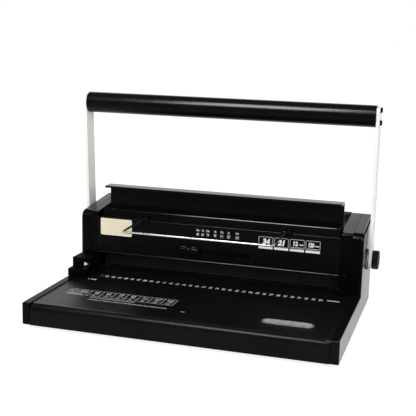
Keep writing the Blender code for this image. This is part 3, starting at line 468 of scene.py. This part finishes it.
gripFoam = foamOfGrip()
armEnamel = creamEnamelOf("armEnamel", tone(0.84, 0.84, 0.795), tone(0.78, 0.78, 0.725))
creamPlate = creamPlateOf("creamPlate", tone(0.78, 0.72, 0.54), tone(0.73, 0.67, 0.49))
creamBorder = creamPlateOf("creamBorder", tone(0.88, 0.83, 0.68), tone(0.84, 0.79, 0.63))
whiteInk = inkOf("whiteInk", tone(0.78), tone(0.58))
paleInk = inkOf("paleInk", tone(0.62), tone(0.44))
greyInk = inkOf("greyInk", tone(0.52), tone(0.34))
# painted highlights for the size knob's grip
faintInk = inkOf("faintInk", tone(0.075), tone(0.030))
redInk = inkOf("redInk", tone(0.085, 0.020, 0.027), tone(0.045, 0.012, 0.016))
footRubber = rubberOf()
spacerNylon = nylonOf()
print("finishes mixed:", len(bpy.data.materials))


def settle(name, shape, finish, body, stands=(), smooth=35):
    # turns the bmesh into a finished piece that rides on its body
    mesh = bpy.data.meshes.new(name)
    shape.to_mesh(mesh)
    shape.free()
    if "custom_normal" in mesh.attributes:
        mesh.attributes.remove(mesh.attributes["custom_normal"])
    mesh.materials.clear()
    mesh.materials.append(finish)
    mesh.shade_smooth()
    mesh.set_sharp_from_angle(angle=radians(smooth))
    piece = bpy.data.objects.new(name, mesh)
    bpy.context.scene.collection.objects.link(piece)
    flats = piece.modifiers.new("flats", "WEIGHTED_NORMAL")
    flats.keep_sharp = True
    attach(piece, body)
    if stands:
        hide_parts(*stands)


def bodyOf(nodeName):
    return frame["nodes"][nodeName].parent.name.split(":")[-1]


softening = {"hardTurn": 50, "bendTurn": 4, "bendWidth": 3.2}


def refine(nodeName, finish, edge, rows=2):
    # a welded copy of the CAD node with its hard edges softened and its bends marked
    hard, gentle = radians(softening["hardTurn"]), radians(softening["bendTurn"])
    shape = bmesh.new()
    shape.from_mesh(frame["nodes"][nodeName].data)
    bmesh.ops.remove_doubles(shape, verts=shape.verts, dist=0.002 * mm)
    bmesh.ops.dissolve_limit(shape, angle_limit=radians(0.4), verts=shape.verts, edges=shape.edges)
    hardEdges = [line for line in shape.edges if line.is_manifold and line.calc_face_angle() > hard]
    polishedBend = shape.loops.layers.float.new("polishedBend")
    for face in shape.faces:
        turns = [line.calc_face_angle(0.0) for line in face.edges]
        width = face.calc_area() / max(line.calc_length() for line in face.edges)
        if width < softening["bendWidth"] * mm and any(gentle < turn < hard for turn in turns):
            for loop in face.loops:
                loop[polishedBend] = 1.0
    bevelled = bmesh.ops.bevel(
        shape, geom=hardEdges, offset=edge * mm, offset_type="OFFSET", segments=rows,
        profile=0.5, affect="EDGES", material=-1, clamp_overlap=True,
    )
    softEdge = shape.loops.layers.float.new("softEdge")
    for face in bevelled["faces"]:
        for loop in face.loops:
            loop[softEdge] = 1.0
    settle(nodeName + "_finished", shape, finish, bodyOf(nodeName), [nodeName])


def turnedShape(outline, steps):
    # (radius, along) points in millimetres spun about the X axis, seam and poles welded
    shape = bmesh.new()
    points = [shape.verts.new((along * mm, 0, radius * mm)) for radius, along in outline]
    for first, second in zip(points, points[1:]):
        shape.edges.new((first, second))
    bmesh.ops.spin(
        shape, geom=shape.verts[:] + shape.edges[:], cent=(0, 0, 0), axis=(1, 0, 0),
        angle=2 * pi, steps=steps, use_merge=True,
    )
    bmesh.ops.remove_doubles(shape, verts=shape.verts, dist=0.01 * mm)
    bmesh.ops.recalc_face_normals(shape, faces=shape.faces)
    return shape


def facing(direction, spot):
    # carries a shape made along +X to look along another direction from a spot
    turn = Vector((1, 0, 0)).rotation_difference(Vector(direction)).to_matrix().to_4x4()
    return Matrix.Translation(spot) @ turn


refine("table_plate", tablePaint, 0.30)
refine("base_pan", lowPanelPaintedLight, 0.30)
for side in ("left", "right"):
    refine(side + "_side_panel", panelPlastic, 0.22)
    refine(side + "_end_housing", housingPaint, 0.35)
    refine(side + "_arm", armEnamel, 0.45, 3)
    refine(side + "_bail_clip", knobPlastic, 0.25)
    refine(side + "_shaft_bush", zincPlating, 0.25)
    refine(side + "_closer_crank", toolSteel, 0.25)
    refine(side + "_punch_crank", toolSteel, 0.25)
    refine(side + "_front_foot", footRubber, 0.4)
    refine(side + "_rear_foot", footRubber, 0.4)
refine("front_cover", coverPaint, 0.25)
refine("low_front_panel", lowPanelPaintedLight, 0.25)
refine("rear_cover", rearPaintedLight, 0.30)
refine("closer_plate", closerPaint, 0.30)
refine("die_plate", toolSteel, 0.15)
refine("punch_stripper", toolSteel, 0.15)
refine("punch_bar", toolSteel, 0.15)
refine("main_shaft", brightWire, 0.3)
refine("return_spring", toolSteel, 0.1)
refine("size_stop_bar", coverPaint, 0.2)
refine("chip_tray", knobPlastic, 0.35)
refine("side_guide", guidePlastic, 0.35)
refine("size_knob", knobPlastic, 0.35)
refine("grip_sleeve", gripFoam, 0.8, 3)
refine("grip_core", coreSteel, 0.2)
refine("label_plate", creamPlate, 0.2)
refine("badge_plate", badgeMetal, 0.2)
print("sheet metal and mouldings refined")


hubNut = {
    "radius": 11.5, "from": 186.92, "to": 194.48, "y": 78.5, "z": 67.0,
    "edge": 1.0, "bore": 5.3, "boreDepth": 6.0, "dish": 7.2, "dishDepth": 0.8,
    "flutes": 36, "fluteDepth": 0.25,
}


def hubNutShape(nut):
    # a fluted hand nut with a shallow dish in its outer face and a blind bore
    length = nut["to"] - nut["from"]
    edge = nut["edge"]
    shape = turnedShape([
        (0, nut["boreDepth"]), (nut["bore"], nut["boreDepth"]), (nut["bore"], 0),
        (nut["radius"] - edge * 0.5, 0), (nut["radius"], edge * 0.5),
        (nut["radius"], length - edge), (nut["radius"] - edge * 0.3, length - edge * 0.35),
        (nut["radius"] - edge, length), (nut["dish"] + 0.5, length),
        (nut["dish"], length - 0.35), (nut["dish"] - 0.6, length - nut["dishDepth"]),
        (0, length - nut["dishDepth"]),
    ], nut["flutes"] * 4)
    rim = (nut["radius"] - edge * 0.45) * mm
    for vert in shape.verts:
        across = Vector((0, vert.co.y, vert.co.z))
        if across.length > rim:
            turnNow = Vector((0, 1)).angle_signed(Vector((vert.co.y, vert.co.z)), 0.0)
            wave = 0.5 - 0.5 * cos(turnNow * nut["flutes"])
            across *= 1 - nut["fluteDepth"] / nut["radius"] * wave
            vert.co.y, vert.co.z = across.y, across.z
    return shape


for side, way in (("left", -1), ("right", 1)):
    nutShape = hubNutShape(hubNut)
    seat = facing((way, 0, 0), (way * hubNut["from"] * mm, hubNut["y"] * mm, hubNut["z"] * mm))
    bmesh.ops.transform(nutShape, matrix=seat, verts=nutShape.verts)
    settle(side + "_hub_nut", nutShape, nutPlastic, "handle", [side + "_hub_knob"])

bail = {
    "radius": 1.3, "left": -92.7, "right": 88.4, "trunnion": 5.4, "pivotY": 29.0, "pivotZ": 103.0,
    "runY": -41.0, "runZ": (101.9, 102.3), "bend": (3.0, 9.0), "elbow": 1.5,
}


def bentWire(corners, radius):
    # a round wire along (spot, bend radius) corners, with true bends
    curve = bpy.data.curves.new("bentWire", "CURVE")
    curve.dimensions = "3D"
    curve.bevel_depth = radius * mm
    curve.bevel_resolution = 6
    curve.resolution_u = 10
    curve.use_fill_caps = True
    knots = []
    for place, (spot, bend) in enumerate(corners):
        spot = Vector(spot)
        if bend == 0:
            knots.append((spot, spot, spot))
            continue
        for other, arriving in ((place - 1, True), (place + 1, False)):
            away = (Vector(corners[other][0]) - spot).normalized()
            tangent, reach = spot + away * bend, spot + away * bend * 0.448
            knots.append((tangent, tangent, reach) if arriving else (tangent, reach, tangent))
    spline = curve.splines.new("BEZIER")
    spline.bezier_points.add(len(knots) - 1)
    for point, (spot, before, after) in zip(spline.bezier_points, knots):
        point.handle_left_type = point.handle_right_type = "FREE"
        point.co, point.handle_left, point.handle_right = spot * mm, before * mm, after * mm
    holder = bpy.data.objects.new("bentWire", curve)
    bpy.context.scene.collection.objects.link(holder)
    drawn = bpy.data.meshes.new_from_object(holder)
    bpy.data.objects.remove(holder, do_unlink=True)
    shape = bmesh.new()
    shape.from_mesh(drawn)
    bmesh.ops.remove_doubles(shape, verts=shape.verts, dist=0.01 * mm)
    bmesh.ops.recalc_face_normals(shape, faces=shape.faces)
    return shape


settle("bail_drawn", bentWire([
    ((bail["left"] + bail["trunnion"], bail["pivotY"], bail["pivotZ"]), 0),
    ((bail["left"], bail["pivotY"], bail["pivotZ"]), bail["elbow"]),
    ((bail["left"], bail["runY"], bail["runZ"][0]), bail["bend"][0]),
    ((bail["right"], bail["runY"], bail["runZ"][1]), bail["bend"][1]),
    ((bail["right"], bail["pivotY"], bail["pivotZ"]), bail["elbow"]),
    ((bail["right"] - bail["trunnion"], bail["pivotY"], bail["pivotZ"]), 0),
], bail["radius"]), bailNickel, bodyOf("wire_bail"), ["wire_bail"], 50)

spool = {
    "rim": 12.9, "core": 11.7, "bore": 5.45, "rimThick": 0.30, "rimEdge": 0.10, "coreEdge": 0.15,
    "play": 0.02, "from": 180.72, "to": 182.68, "y": 78.5, "z": 67.0,
}


def ringShape(bore, radius, thick, edge):
    # a washer with softened rims, its bore along +X
    return turnedShape([
        (bore, 0), (radius - edge, 0), (radius, edge), (radius, thick - edge),
        (radius - edge, thick), (bore, thick), (bore, 0),
    ], 96)


for side, way in (("left", -1), ("right", 1)):
    boss = side + "_pivot_boss"
    rimThick = spool["rimThick"]
    length = spool["to"] - spool["from"]
    seat = facing((way, 0, 0), (way * spool["from"] * mm, spool["y"] * mm, spool["z"] * mm))
    for place, shift in (("inner", 0), ("outer", length - rimThick)):
        disc = ringShape(spool["bore"], spool["rim"], rimThick, spool["rimEdge"])
        bmesh.ops.transform(disc, matrix=seat @ Matrix.Translation((shift * mm, 0, 0)), verts=disc.verts)
        settle(side + "_boss_" + place + "_disc", disc, nutPlastic, bodyOf(boss), [boss])
    thick = length - 2 * rimThick - 2 * spool["play"]
    core = ringShape(spool["bore"], spool["core"], thick, spool["coreEdge"])
    seat = seat @ Matrix.Translation(((rimThick + spool["play"]) * mm, 0, 0))
    bmesh.ops.transform(core, matrix=seat, verts=core.verts)
    settle(side + "_boss_spacer", core, spacerNylon, bodyOf(boss), [boss])

screws = {
    "steps": 36, "socket": 1.35, "socketDepth": 1.1,
    "grip": {"headRadius": 3.3, "headHeight": 2.2, "shankRadius": 1.8, "length": 13.5},
    "housing": {"headRadius": 2.8, "headHeight": 1.4, "shankRadius": 1.5, "length": 9.4},
}


def screwShape(size):
    # a domed head with a six-sided socket, and its shank behind
    headRadius, headHeight = size["headRadius"], size["headHeight"]
    shankRadius, length = size["shankRadius"], size["length"]
    socket, floor = screws["socket"], headHeight - screws["socketDepth"]
    shape = turnedShape([
        (0, headHeight - length), (shankRadius - 0.3, headHeight - length),
        (shankRadius, headHeight - length + 0.3), (shankRadius, 0),
        (headRadius - 0.1, 0), (headRadius, 0.15), (headRadius, headHeight * 0.35),
        (headRadius * 0.93, headHeight * 0.66), (headRadius * 0.78, headHeight * 0.88),
        (headRadius * 0.58, headHeight), (socket * 1.12, headHeight),
        (socket, headHeight - 0.12), (socket, floor), (0, floor - 0.3),
    ], screws["steps"])
    for vert in shape.verts:
        reach = Vector((vert.co.y, vert.co.z))
        inSocket = 0.5 * mm < reach.length < (socket + 0.02) * mm and vert.co.x > 0
        if inSocket:
            # a circle of points drawn in to the flats of a hexagon
            turnNow = Vector((0, 1)).angle_signed(reach, 0.0) % (pi / 3)
            reach *= cos(pi / 6) / cos(turnNow - pi / 6)
            vert.co.y, vert.co.z = reach.x, reach.y
    return shape


def placeScrew(nodeName, size, direction, spot):
    shape = screwShape(size)
    bmesh.ops.transform(shape, matrix=facing(direction, spot), verts=shape.verts)
    settle(nodeName + "_turned", shape, knobPlastic, bodyOf(nodeName), [nodeName])


for side, way in (("left", -1), ("right", 1)):
    for level in ("upper", "lower"):
        nodeName = side + "_" + level + "_grip_screw"
        low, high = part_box(nodeName)
        spot = (way * hubNut["from"] * mm, (low.y + high.y) / 2, (low.z + high.z) / 2)
        placeScrew(nodeName, screws["grip"], (way, 0, 0), spot)
    nodeName = side + "_housing_screw"
    low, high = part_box(nodeName)
    headHeight = screws["housing"]["headHeight"]
    spot = ((low.x + high.x) / 2, low.y + headHeight * mm, (low.z + high.z) / 2)
    placeScrew(nodeName, screws["housing"], (0, -1, 0), spot)
print("nuts and screws turned")


ridgePaint = blackEnamel("ridgeEnamel", {
    "dark": tone(0.0030), "light": tone(0.0050), "hazeSize": 12, "dust": 0.10, "wear": 0.8, "polish": 0.0,
    "peelSize": 1.5, "peelDepth": 0.003, "grit": 0.2, "roughness": (0.12, 0.18), "shine": 1.0, "level": 0.9,
})
ridges = {
    "cover_crease": {
        "from": -152.3, "to": 152.4, "front": 34.24, "back": 34.62,
        "z": 100.0, "tall": 0.55, "round": 0.22,
    },
    "rim_edge_rub": {
        "from": 165.6, "to": 179.2, "front": -123.46, "back": -122.50,
        "z": 29.20, "tall": 1.00, "round": 0.60,
    },
    "cover_lip_roll": {
        "from": -157.4, "to": 152.9, "front": 33.10, "back": 34.70,
        "z": 54.90, "tall": 1.70, "round": 0.80,
    },
}


def ridgeShape(look):
    # the cover's pressed crease or rolled lip, or the right rim's rubbed edge, rounded in front
    shape = bmesh.new()
    bmesh.ops.create_cube(shape, size=1.0)
    middle = ((look["from"] + look["to"]) / 2, (look["front"] + look["back"]) / 2, look["z"])
    size = Matrix.Diagonal((look["to"] - look["from"], look["back"] - look["front"], look["tall"], 1))
    place = Matrix.Scale(mm, 4) @ Matrix.Translation(middle) @ size
    bmesh.ops.transform(shape, matrix=place, verts=shape.verts)
    long = [line for line in shape.edges if abs(line.verts[0].co.x - line.verts[1].co.x) > 1 * mm]
    front = [line for line in long if line.verts[0].co.y < (look["front"] + 0.05) * mm]
    bmesh.ops.bevel(
        shape, geom=front, offset=look["round"] * mm, offset_type="OFFSET", segments=5, profile=0.5,
        affect="EDGES", material=-1,
    )
    return shape


for name, look in ridges.items():
    settle(name, ridgeShape(look), ridgePaint, "frame", smooth=60)

inkDepth = 0.03
typeFace = {"wide": 0.56, "tall": 0.70}  # one figure of the built-in face


def addWords(shape, words, u, v, wide, tall, weight, lean=0.0):
    # figures set about (u, v): wide and tall are the size of one figure
    curve = bpy.data.curves.new("figures", "FONT")
    curve.body = words
    curve.align_x = "CENTER"
    curve.align_y = "CENTER"
    curve.resolution_u = 3
    curve.offset = weight
    curve.shear = lean
    curve.extrude = inkDepth / 2
    holder = bpy.data.objects.new("figures", curve)
    bpy.context.scene.collection.objects.link(holder)
    flat = bpy.data.meshes.new_from_object(holder)
    bpy.data.objects.remove(holder, do_unlink=True)
    size = Matrix.Diagonal((wide / typeFace["wide"], tall / typeFace["tall"], 1, 1))
    flat.transform(Matrix.Translation((u, v, inkDepth)) @ size)
    shape.from_mesh(flat)


def joinTile(shape, tile):
    bmesh.ops.recalc_face_normals(tile, faces=tile.faces)
    flat = bpy.data.meshes.new("tile")
    tile.to_mesh(flat)
    tile.free()
    shape.from_mesh(flat)


def addTile(shape, uRange, vRange, corner=0.0, line=0.0):
    # a flat patch of ink, or an outline where line is given
    (uLow, uHigh), (vLow, vHigh) = uRange, vRange
    tile = bmesh.new()
    size = Matrix.Diagonal((uHigh - uLow, vHigh - vLow, 1, 1))
    spot = Matrix.Translation(((uLow + uHigh) / 2, (vLow + vHigh) / 2, inkDepth / 2))
    bmesh.ops.create_grid(tile, x_segments=1, y_segments=1, size=0.5, matrix=spot @ size)
    if corner:
        bmesh.ops.bevel(
            tile, geom=tile.verts[:], offset=corner, segments=4, profile=0.5,
            affect="VERTICES", material=-1,
        )
    if line:
        inner = tile.faces[:]
        bmesh.ops.inset_region(tile, faces=inner, thickness=line, use_boundary=True)
        bmesh.ops.delete(tile, geom=inner, context="FACES_ONLY")
    grown = bmesh.ops.extrude_face_region(tile, geom=tile.faces[:])
    raised = [item for item in grown["geom"] if isinstance(item, bmesh.types.BMVert)]
    bmesh.ops.translate(tile, vec=(0, 0, inkDepth), verts=raised)
    joinTile(shape, tile)


def addArrow(shape, u, v, length, width, way):
    # a three-cornered pointer, its tip on the way side
    tile = bmesh.new()
    bmesh.ops.create_cone(
        tile, cap_ends=True, segments=3, radius1=1, radius2=1, depth=inkDepth,
        matrix=Matrix.Translation((0, 0, inkDepth)) @ Matrix.Rotation(-pi / 2, 4, "Z"),
    )
    stretch = Matrix.Diagonal((way * length / 1.5, width / 1.732, 1, 1))
    bmesh.ops.transform(tile, matrix=Matrix.Translation((u, v, 0)) @ stretch, verts=tile.verts)
    joinTile(shape, tile)


def printOn(name, shape, plane, finish, body):
    bmesh.ops.transform(shape, matrix=plane @ Matrix.Scale(mm, 4), verts=shape.verts)
    settle(name, shape, finish, body)


def frontAt(y):
    # the upright plane at y, for marks that face the front
    return Matrix.Translation((0, y, 0)) @ Matrix.Rotation(pi / 2, 4, "X")


onTable = Matrix.Translation((0, 0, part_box("table_plate")[1].z))
onCover = frontAt(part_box("label_plate")[1].y + 0.3 * mm)

holeRow = {
    "first": -143.06, "pitch": 25.4 / 3, "holes": 34,
    "figure": {"v": 12.3, "wide": 2.6, "tall": 6.2, "weight": 0.03},
    "endBar": ((144.0, 158.4), (12.2, 15.0)),
    "arrow": {"u": -151.8, "v": -5.2, "length": 2.6, "width": 3.4, "way": -1},
    "dots": (((-148.4, -145.2), (-7.2, -4.0), 0.4), ((-144.4, -141.4), (-7.2, -4.0), 0.4)),
    "redMark": ((-144.4, -138.2), (9.4, 18.0), 0.8),
}
numerals = bmesh.new()
for hole in range(1, holeRow["holes"]):
    spot = holeRow["first"] + hole * holeRow["pitch"]
    addWords(numerals, "%02d" % (hole + 1), spot, **holeRow["figure"])
addTile(numerals, *holeRow["endBar"])
addArrow(numerals, **holeRow["arrow"])
for dot in holeRow["dots"]:
    addTile(numerals, *dot)
printOn("hole_numerals", numerals, onTable, paleInk, "frame")

redMark = bmesh.new()
addTile(redMark, *holeRow["redMark"])
printOn("first_hole_mark", redMark, onTable, redInk, "frame")

sizeChart = {
    "left": -152.5, "headEnd": -125.2, "right": -18.5, "low": -71.0, "mid": -64.5, "high": -50.0,
    "line": 0.55, "midLine": 0.7,
    "wire": ("4.8", "6.4", "7.9", "9.5", "11.1", "12.7", "14.3"),
    "sheets": ("20", "40", "60", "70", "85", "100", "120"),
    "wireFigure": {"wide": 2.5, "tall": 8.4, "weight": 0.03}, "wireLift": 0.4,
    "sheetFigure": {"wide": 2.0, "tall": 3.8, "weight": 0.01}, "sheetLift": 0.3,
    "loops": {"sizes": (4.6, 3.0), "shift": 7, "level": -57.2, "line": 0.5, "corner": 0.9},
    "stack": {"count": 4, "low": -61.0, "high": -60.1, "step": 2.4, "from": 1, "to": 10},
    "wedge": {"count": 3, "low": -69.8, "high": -69.1, "step": 1.7, "from": 10, "to": 9, "shorter": 2},
    "tickFrom": -114.5, "tickStep": 1.2, "tickWide": 0.5, "longTick": 4.0, "shortTick": 2.8,
    "tickDot": {"from": 3.6, "to": 1.6, "low": 0.4, "high": 2.4, "corner": 0.5},
    "tickRows": ((-77.0, 43), (-84.4, 78)),
    "endMark": ((-3.0, 1.6), (-88.2, -87.0)),
}


def drawChart(chart):
    # two rows of figures in a ruled grid, with two tick scales under it
    drawn = bmesh.new()
    line = chart["line"]
    for level in (chart["low"], chart["high"]):
        addTile(drawn, (chart["left"], chart["right"]), (level, level + line))
    addTile(drawn, (chart["left"], chart["right"]), (chart["mid"], chart["mid"] + line * chart["midLine"]))
    column = (chart["right"] - chart["headEnd"]) / len(chart["wire"])
    for index in range(len(chart["wire"]) + 1):
        u = chart["headEnd"] + column * index
        addTile(drawn, (u - line, u), (chart["low"], chart["high"]))
    addTile(drawn, (chart["left"], chart["left"] + line), (chart["low"], chart["high"]))
    for index, (wire, sheets) in enumerate(zip(chart["wire"], chart["sheets"])):
        u = chart["headEnd"] + column * (index + 0.5)
        upper = (chart["mid"] + chart["high"]) / 2 + chart["wireLift"]
        lower = (chart["low"] + chart["mid"]) / 2 + chart["sheetLift"]
        addWords(drawn, wire, u, upper, **chart["wireFigure"])
        addWords(drawn, sheets, u, lower, **chart["sheetFigure"])
    # the head cells: a wire loop seen from its end, and a stack of sheets
    middle = (chart["left"] + chart["headEnd"]) / 2
    loops, stack, wedge = chart["loops"], chart["stack"], chart["wedge"]
    hub, level = middle - loops["shift"], loops["level"]
    for size in loops["sizes"]:
        across, upward = (hub - size, hub + size), (level - size, level + size)
        addTile(drawn, across, upward, size * loops["corner"], loops["line"])
    for step in range(stack["count"]):
        rise = stack["step"] * step
        across = (middle - stack["from"], middle + stack["to"])
        addTile(drawn, across, (stack["low"] + rise, stack["high"] + rise))
    for step in range(wedge["count"]):
        rise = wedge["step"] * step
        across = (middle - wedge["from"], middle + wedge["to"] - wedge["shorter"] * step)
        addTile(drawn, across, (wedge["low"] + rise, wedge["high"] + rise))
    start, dot = chart["tickFrom"], chart["tickDot"]
    for level, count in chart["tickRows"]:
        across = (start - dot["from"], start - dot["to"])
        addTile(drawn, across, (level + dot["low"], level + dot["high"]), dot["corner"])
        for tick in range(count):
            u = start + tick * chart["tickStep"]
            tall = chart["longTick"] if tick % 5 == 0 else chart["shortTick"]
            addTile(drawn, (u, u + chart["tickWide"]), (level, level + tall))
    addTile(drawn, *chart["endMark"])
    return drawn


printOn("size_chart", drawChart(sizeChart), onTable, greyInk, "frame")

coverScale = {
    "spots": (-23.5, -17.0, -10.5, -1.0, 7.5, 16.0, 27.0),
    "upper": ("3/16", "1/4", "5/16", "3/8", "7/16", "1/2", "9/16"),
    "lower": ("4.8", "6.4", "7.9", "9.5", "11.1", "12.7", "14.3"),
    "upperFigure": {"v": 94.0, "wide": 1.25, "tall": 2.3, "weight": 0.02},
    "lowerFigure": {"v": 89.0, "wide": 1.35, "tall": 3.4, "weight": 0.02},
}
figures = bmesh.new()
for spot, upper, lower in zip(coverScale["spots"], coverScale["upper"], coverScale["lower"]):
    addWords(figures, upper, spot, **coverScale["upperFigure"])
    addWords(figures, lower, spot, **coverScale["lowerFigure"])
printOn("size_scale", figures, onCover, whiteInk, "frame")

plateBorder = {"corner": 1.2, "line": 0.9}
plateLow, plateHigh = (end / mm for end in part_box("label_plate"))
border = bmesh.new()
plateRange = (plateLow.x, plateHigh.x), (plateLow.z, plateHigh.z)
addTile(border, *plateRange, plateBorder["corner"], plateBorder["line"])
printOn("label_border", border, frontAt(plateLow.y * mm), creamBorder, bodyOf("label_plate"))

cardRow = {
    "first": 54.2, "pitch": 19.2, "wide": 17.5, "low": 79.0, "high": 93.8,
    "bar": 2.5, "barCorner": 0.5, "gap": 0.4, "corner": 1.0, "line": 0.45,
    "plain": {"34": 4.86, "21": 4.86}, "lined": {"12": 3.6, "120": 2.8},
    "plainFigure": {"tall": 6.4, "weight": 0.06, "lean": 0.2}, "plainLift": -0.2,
    "linedFigure": {"tall": 5.0, "weight": 0.05, "lean": 0.06}, "linedLift": 0.6, "linedLeft": 6.4,
    "dash": {"left": 11.4, "right": 1.4, "low": -0.9, "high": 0.5},
    "rule": {"left": 1.8, "right": 1.8, "low": -4.2, "high": -3.6},
}


def drawCards(row):
    # a row of cards: bars and figures in one ink, frames and rules in another
    solid, thin = bmesh.new(), bmesh.new()
    middle = (row["low"] + row["bar"] + row["high"]) / 2
    for index, (words, wide) in enumerate({**row["plain"], **row["lined"]}.items()):
        left = row["first"] + row["pitch"] * index
        right = left + row["wide"]
        addTile(solid, (left, right), (row["low"], row["low"] + row["bar"]), row["barCorner"])
        frameRange = (left, right), (row["low"] + row["bar"] + row["gap"], row["high"])
        addTile(thin, *frameRange, row["corner"], row["line"])
        if words in row["plain"]:
            level = middle + row["plainLift"]
            addWords(solid, words, (left + right) / 2, level, wide, **row["plainFigure"])
            continue
        level = middle + row["linedLift"]
        addWords(solid, words, left + row["linedLeft"], level, wide, **row["linedFigure"])
        for stroke in (row["dash"], row["rule"]):
            across = (left + stroke["left"], right - stroke["right"])
            addTile(thin, across, (middle + stroke["low"], middle + stroke["high"]))
    return solid, thin


cards, cardLines = drawCards(cardRow)
printOn("cover_cards", cards, onCover, whiteInk, "frame")
printOn("cover_card_lines", cardLines, onCover, paleInk, "frame")

# painted highlights: the glints on the size knob's grip ridges, laid on as pale ink patches
knobHighlightSpots = {
    "corner": 0.3,
    "patches": (
        ((-43.5, -35.5), (72.4, 73.4)), ((-29.5, -25.0), (73.0, 73.8)), ((-42.0, -38.5), (70.2, 70.9)),
        ((-35.2, -31.5), (70.0, 71.2)), ((-29.4, -22.8), (69.6, 71.2)),
    ),
}
paintedKnobHighlights = bmesh.new()
for patch in knobHighlightSpots["patches"]:
    addTile(paintedKnobHighlights, *patch, knobHighlightSpots["corner"])
onKnob = frontAt(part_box("size_knob")[0].y)
printOn("knob_marks", paintedKnobHighlights, onKnob, faintInk, bodyOf("size_knob"))

badgeBorder = {"inset": 0.25, "line": 1.2, "offRound": 0.1}
badgeLow, badgeHigh = (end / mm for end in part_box("badge_plate"))
badgeRim = bmesh.new()
inset = badgeBorder["inset"]
badgeRange = (badgeLow.x + inset, badgeHigh.x - inset), (badgeLow.y + inset, badgeHigh.y - inset)
corner = (badgeHigh.y - badgeLow.y) / 2 - inset - badgeBorder["offRound"]
addTile(badgeRim, *badgeRange, corner, badgeBorder["line"])
printOn("badge_rim", badgeRim, Matrix.Translation((0, 0, badgeHigh.z * mm)), knobPlastic, "frame")

guidePointer = {"u": -162.4, "v": 43.5, "length": 5.4, "width": 4.8, "way": 1}
guideFront = 8.5
guideMark = bmesh.new()
addArrow(guideMark, **guidePointer)
printOn("guide_arrow", guideMark, frontAt(guideFront * mm), whiteInk, "guide")
print("marks printed")


studio = {
    "skyForObject": 0.48, "darkSide": 0.05, "floorSize": 4.0, "floorGlow": 0.86, "floorBase": 0.32,
    "floorPale": 0.75,
    "key": {"size": (0.40, 0.56), "watts": 7.0, "spot": (-0.22, -0.72, 1.06), "aim": (0.0, 0.05, 0.15)},
    "front": {"size": (1.4, 1.0), "watts": 19.5, "spot": (1.15, -1.45, 1.05), "aim": (0.0, 0.0, 0.10)},
    "left": {"size": (1.0, 1.0), "watts": 4.0, "spot": (-1.50, -0.80, 0.90), "aim": (0.0, 0.0, 0.10)},
}


def seenDirectly(wire):
    # 1 for camera, mirror and glass rays, 0 for the light that falls on the object
    rays = wire.node("ShaderNodeLightPath", output="Is Camera Ray")
    mirror = wire.node("ShaderNodeLightPath", output="Is Glossy Ray")
    glass = wire.node("ShaderNodeLightPath", output="Is Transmission Ray")
    return (rays + mirror + glass).spread(0.0, 1.0)


def lightSky():
    # white wherever the camera looks; mirrors see the white backdrop behind the object
    # and the dark half of the studio before it
    world = bpy.data.worlds.new("studioSky")
    bpy.context.scene.world = world
    world.use_nodes = True
    wire = Wire(world.node_tree)
    behind = axisOf(wire, "Generated", "Y").spread(0.0, 0.35)
    backdrop = behind * axisOf(wire, "Generated", "Z").spread(0.40, 0.60, 1.0, 0.0)
    mirrored = backdrop.spread(0.0, 1.0, studio["darkSide"], 1.0)
    camera = wire.node("ShaderNodeLightPath", output="Is Camera Ray")
    shown = camera + (1 - camera) * mirrored
    seen = seenDirectly(wire)
    background = world.node_tree.nodes["Background"]
    paintOn(background, {
        "Color": tone(1.0),
        "Strength": seen * shown + (1 - seen) * studio["skyForObject"],
    })


def layFloor():
    shape = bmesh.new()
    bmesh.ops.create_grid(shape, x_segments=1, y_segments=1, size=studio["floorSize"])
    mesh = bpy.data.meshes.new("studioFloor")
    shape.to_mesh(mesh)
    shape.free()
    floor = bpy.data.objects.new("studioFloor", mesh)
    bpy.context.scene.collection.objects.link(floor)
    finish = bpy.data.materials.new("paleFloor")
    finish.use_nodes = True
    tree = finish.node_tree
    tree.nodes.remove(tree.nodes["Principled BSDF"])
    wire = Wire(tree)
    plain = wire.node("ShaderNodeBsdfDiffuse", {}, {"Color": tone(studio["floorPale"])})
    dim = wire.node("ShaderNodeBsdfDiffuse", {}, {"Color": tone(studio["floorBase"])})
    glow = wire.node("ShaderNodeEmission", {}, {"Color": tone(1.0), "Strength": studio["floorGlow"]})
    shown = wire.node("ShaderNodeAddShader", {}, {0: dim, 1: glow})
    mixed = wire.node("ShaderNodeMixShader", {}, {0: seenDirectly(wire), 1: plain, 2: shown})
    tree.links.new(mixed.socket, tree.nodes["Material Output"].inputs["Surface"])
    mesh.materials.append(finish)


def hangLamp(name, lamp):
    light = bpy.data.lights.new(name, "AREA")
    light.shape = "RECTANGLE"
    light.size, light.size_y = lamp["size"]
    light.energy = lamp["watts"]
    holder = bpy.data.objects.new(name, light)
    bpy.context.scene.collection.objects.link(holder)
    holder.location = lamp["spot"]
    toward = Vector(lamp["aim"]) - Vector(lamp["spot"])
    holder.rotation_euler = toward.to_track_quat("-Z", "Y").to_euler()


lightSky()
layFloor()
for lampName in ("key", "front", "left"):
    hangLamp(lampName + "Lamp", studio[lampName])

view = {
    "spot": (0.29667, -0.98375, 0.34049), "yaw": -16.81, "down": 11.55, "roll": 1.40, "lens": 76.84,
}


def setCamera():
    # the photograph's own place and angle, worked out from its edges
    yaw, down, roll = radians(view["yaw"]), radians(view["down"]), radians(view["roll"])
    ahead = Vector((sin(yaw) * cos(down), cos(yaw) * cos(down), -sin(down)))
    right = Vector((cos(yaw), -sin(yaw), 0))
    up = right.cross(ahead)
    axisX = right * cos(roll) + up * sin(roll)
    axisY = up * cos(roll) - right * sin(roll)
    lens = bpy.data.cameras.new("photoCamera")
    lens.lens = view["lens"]
    lens.sensor_width = 36
    lens.clip_start = 0.01
    holder = bpy.data.objects.new("photoCamera", lens)
    bpy.context.scene.collection.objects.link(holder)
    turned = Matrix((axisX, axisY, -ahead)).transposed().to_4x4()
    holder.matrix_world = Matrix.Translation(view["spot"]) @ turned
    bpy.context.scene.camera = holder


setCamera()
bpy.context.scene.view_settings.view_transform = "Standard"
print("studio lit and camera set")
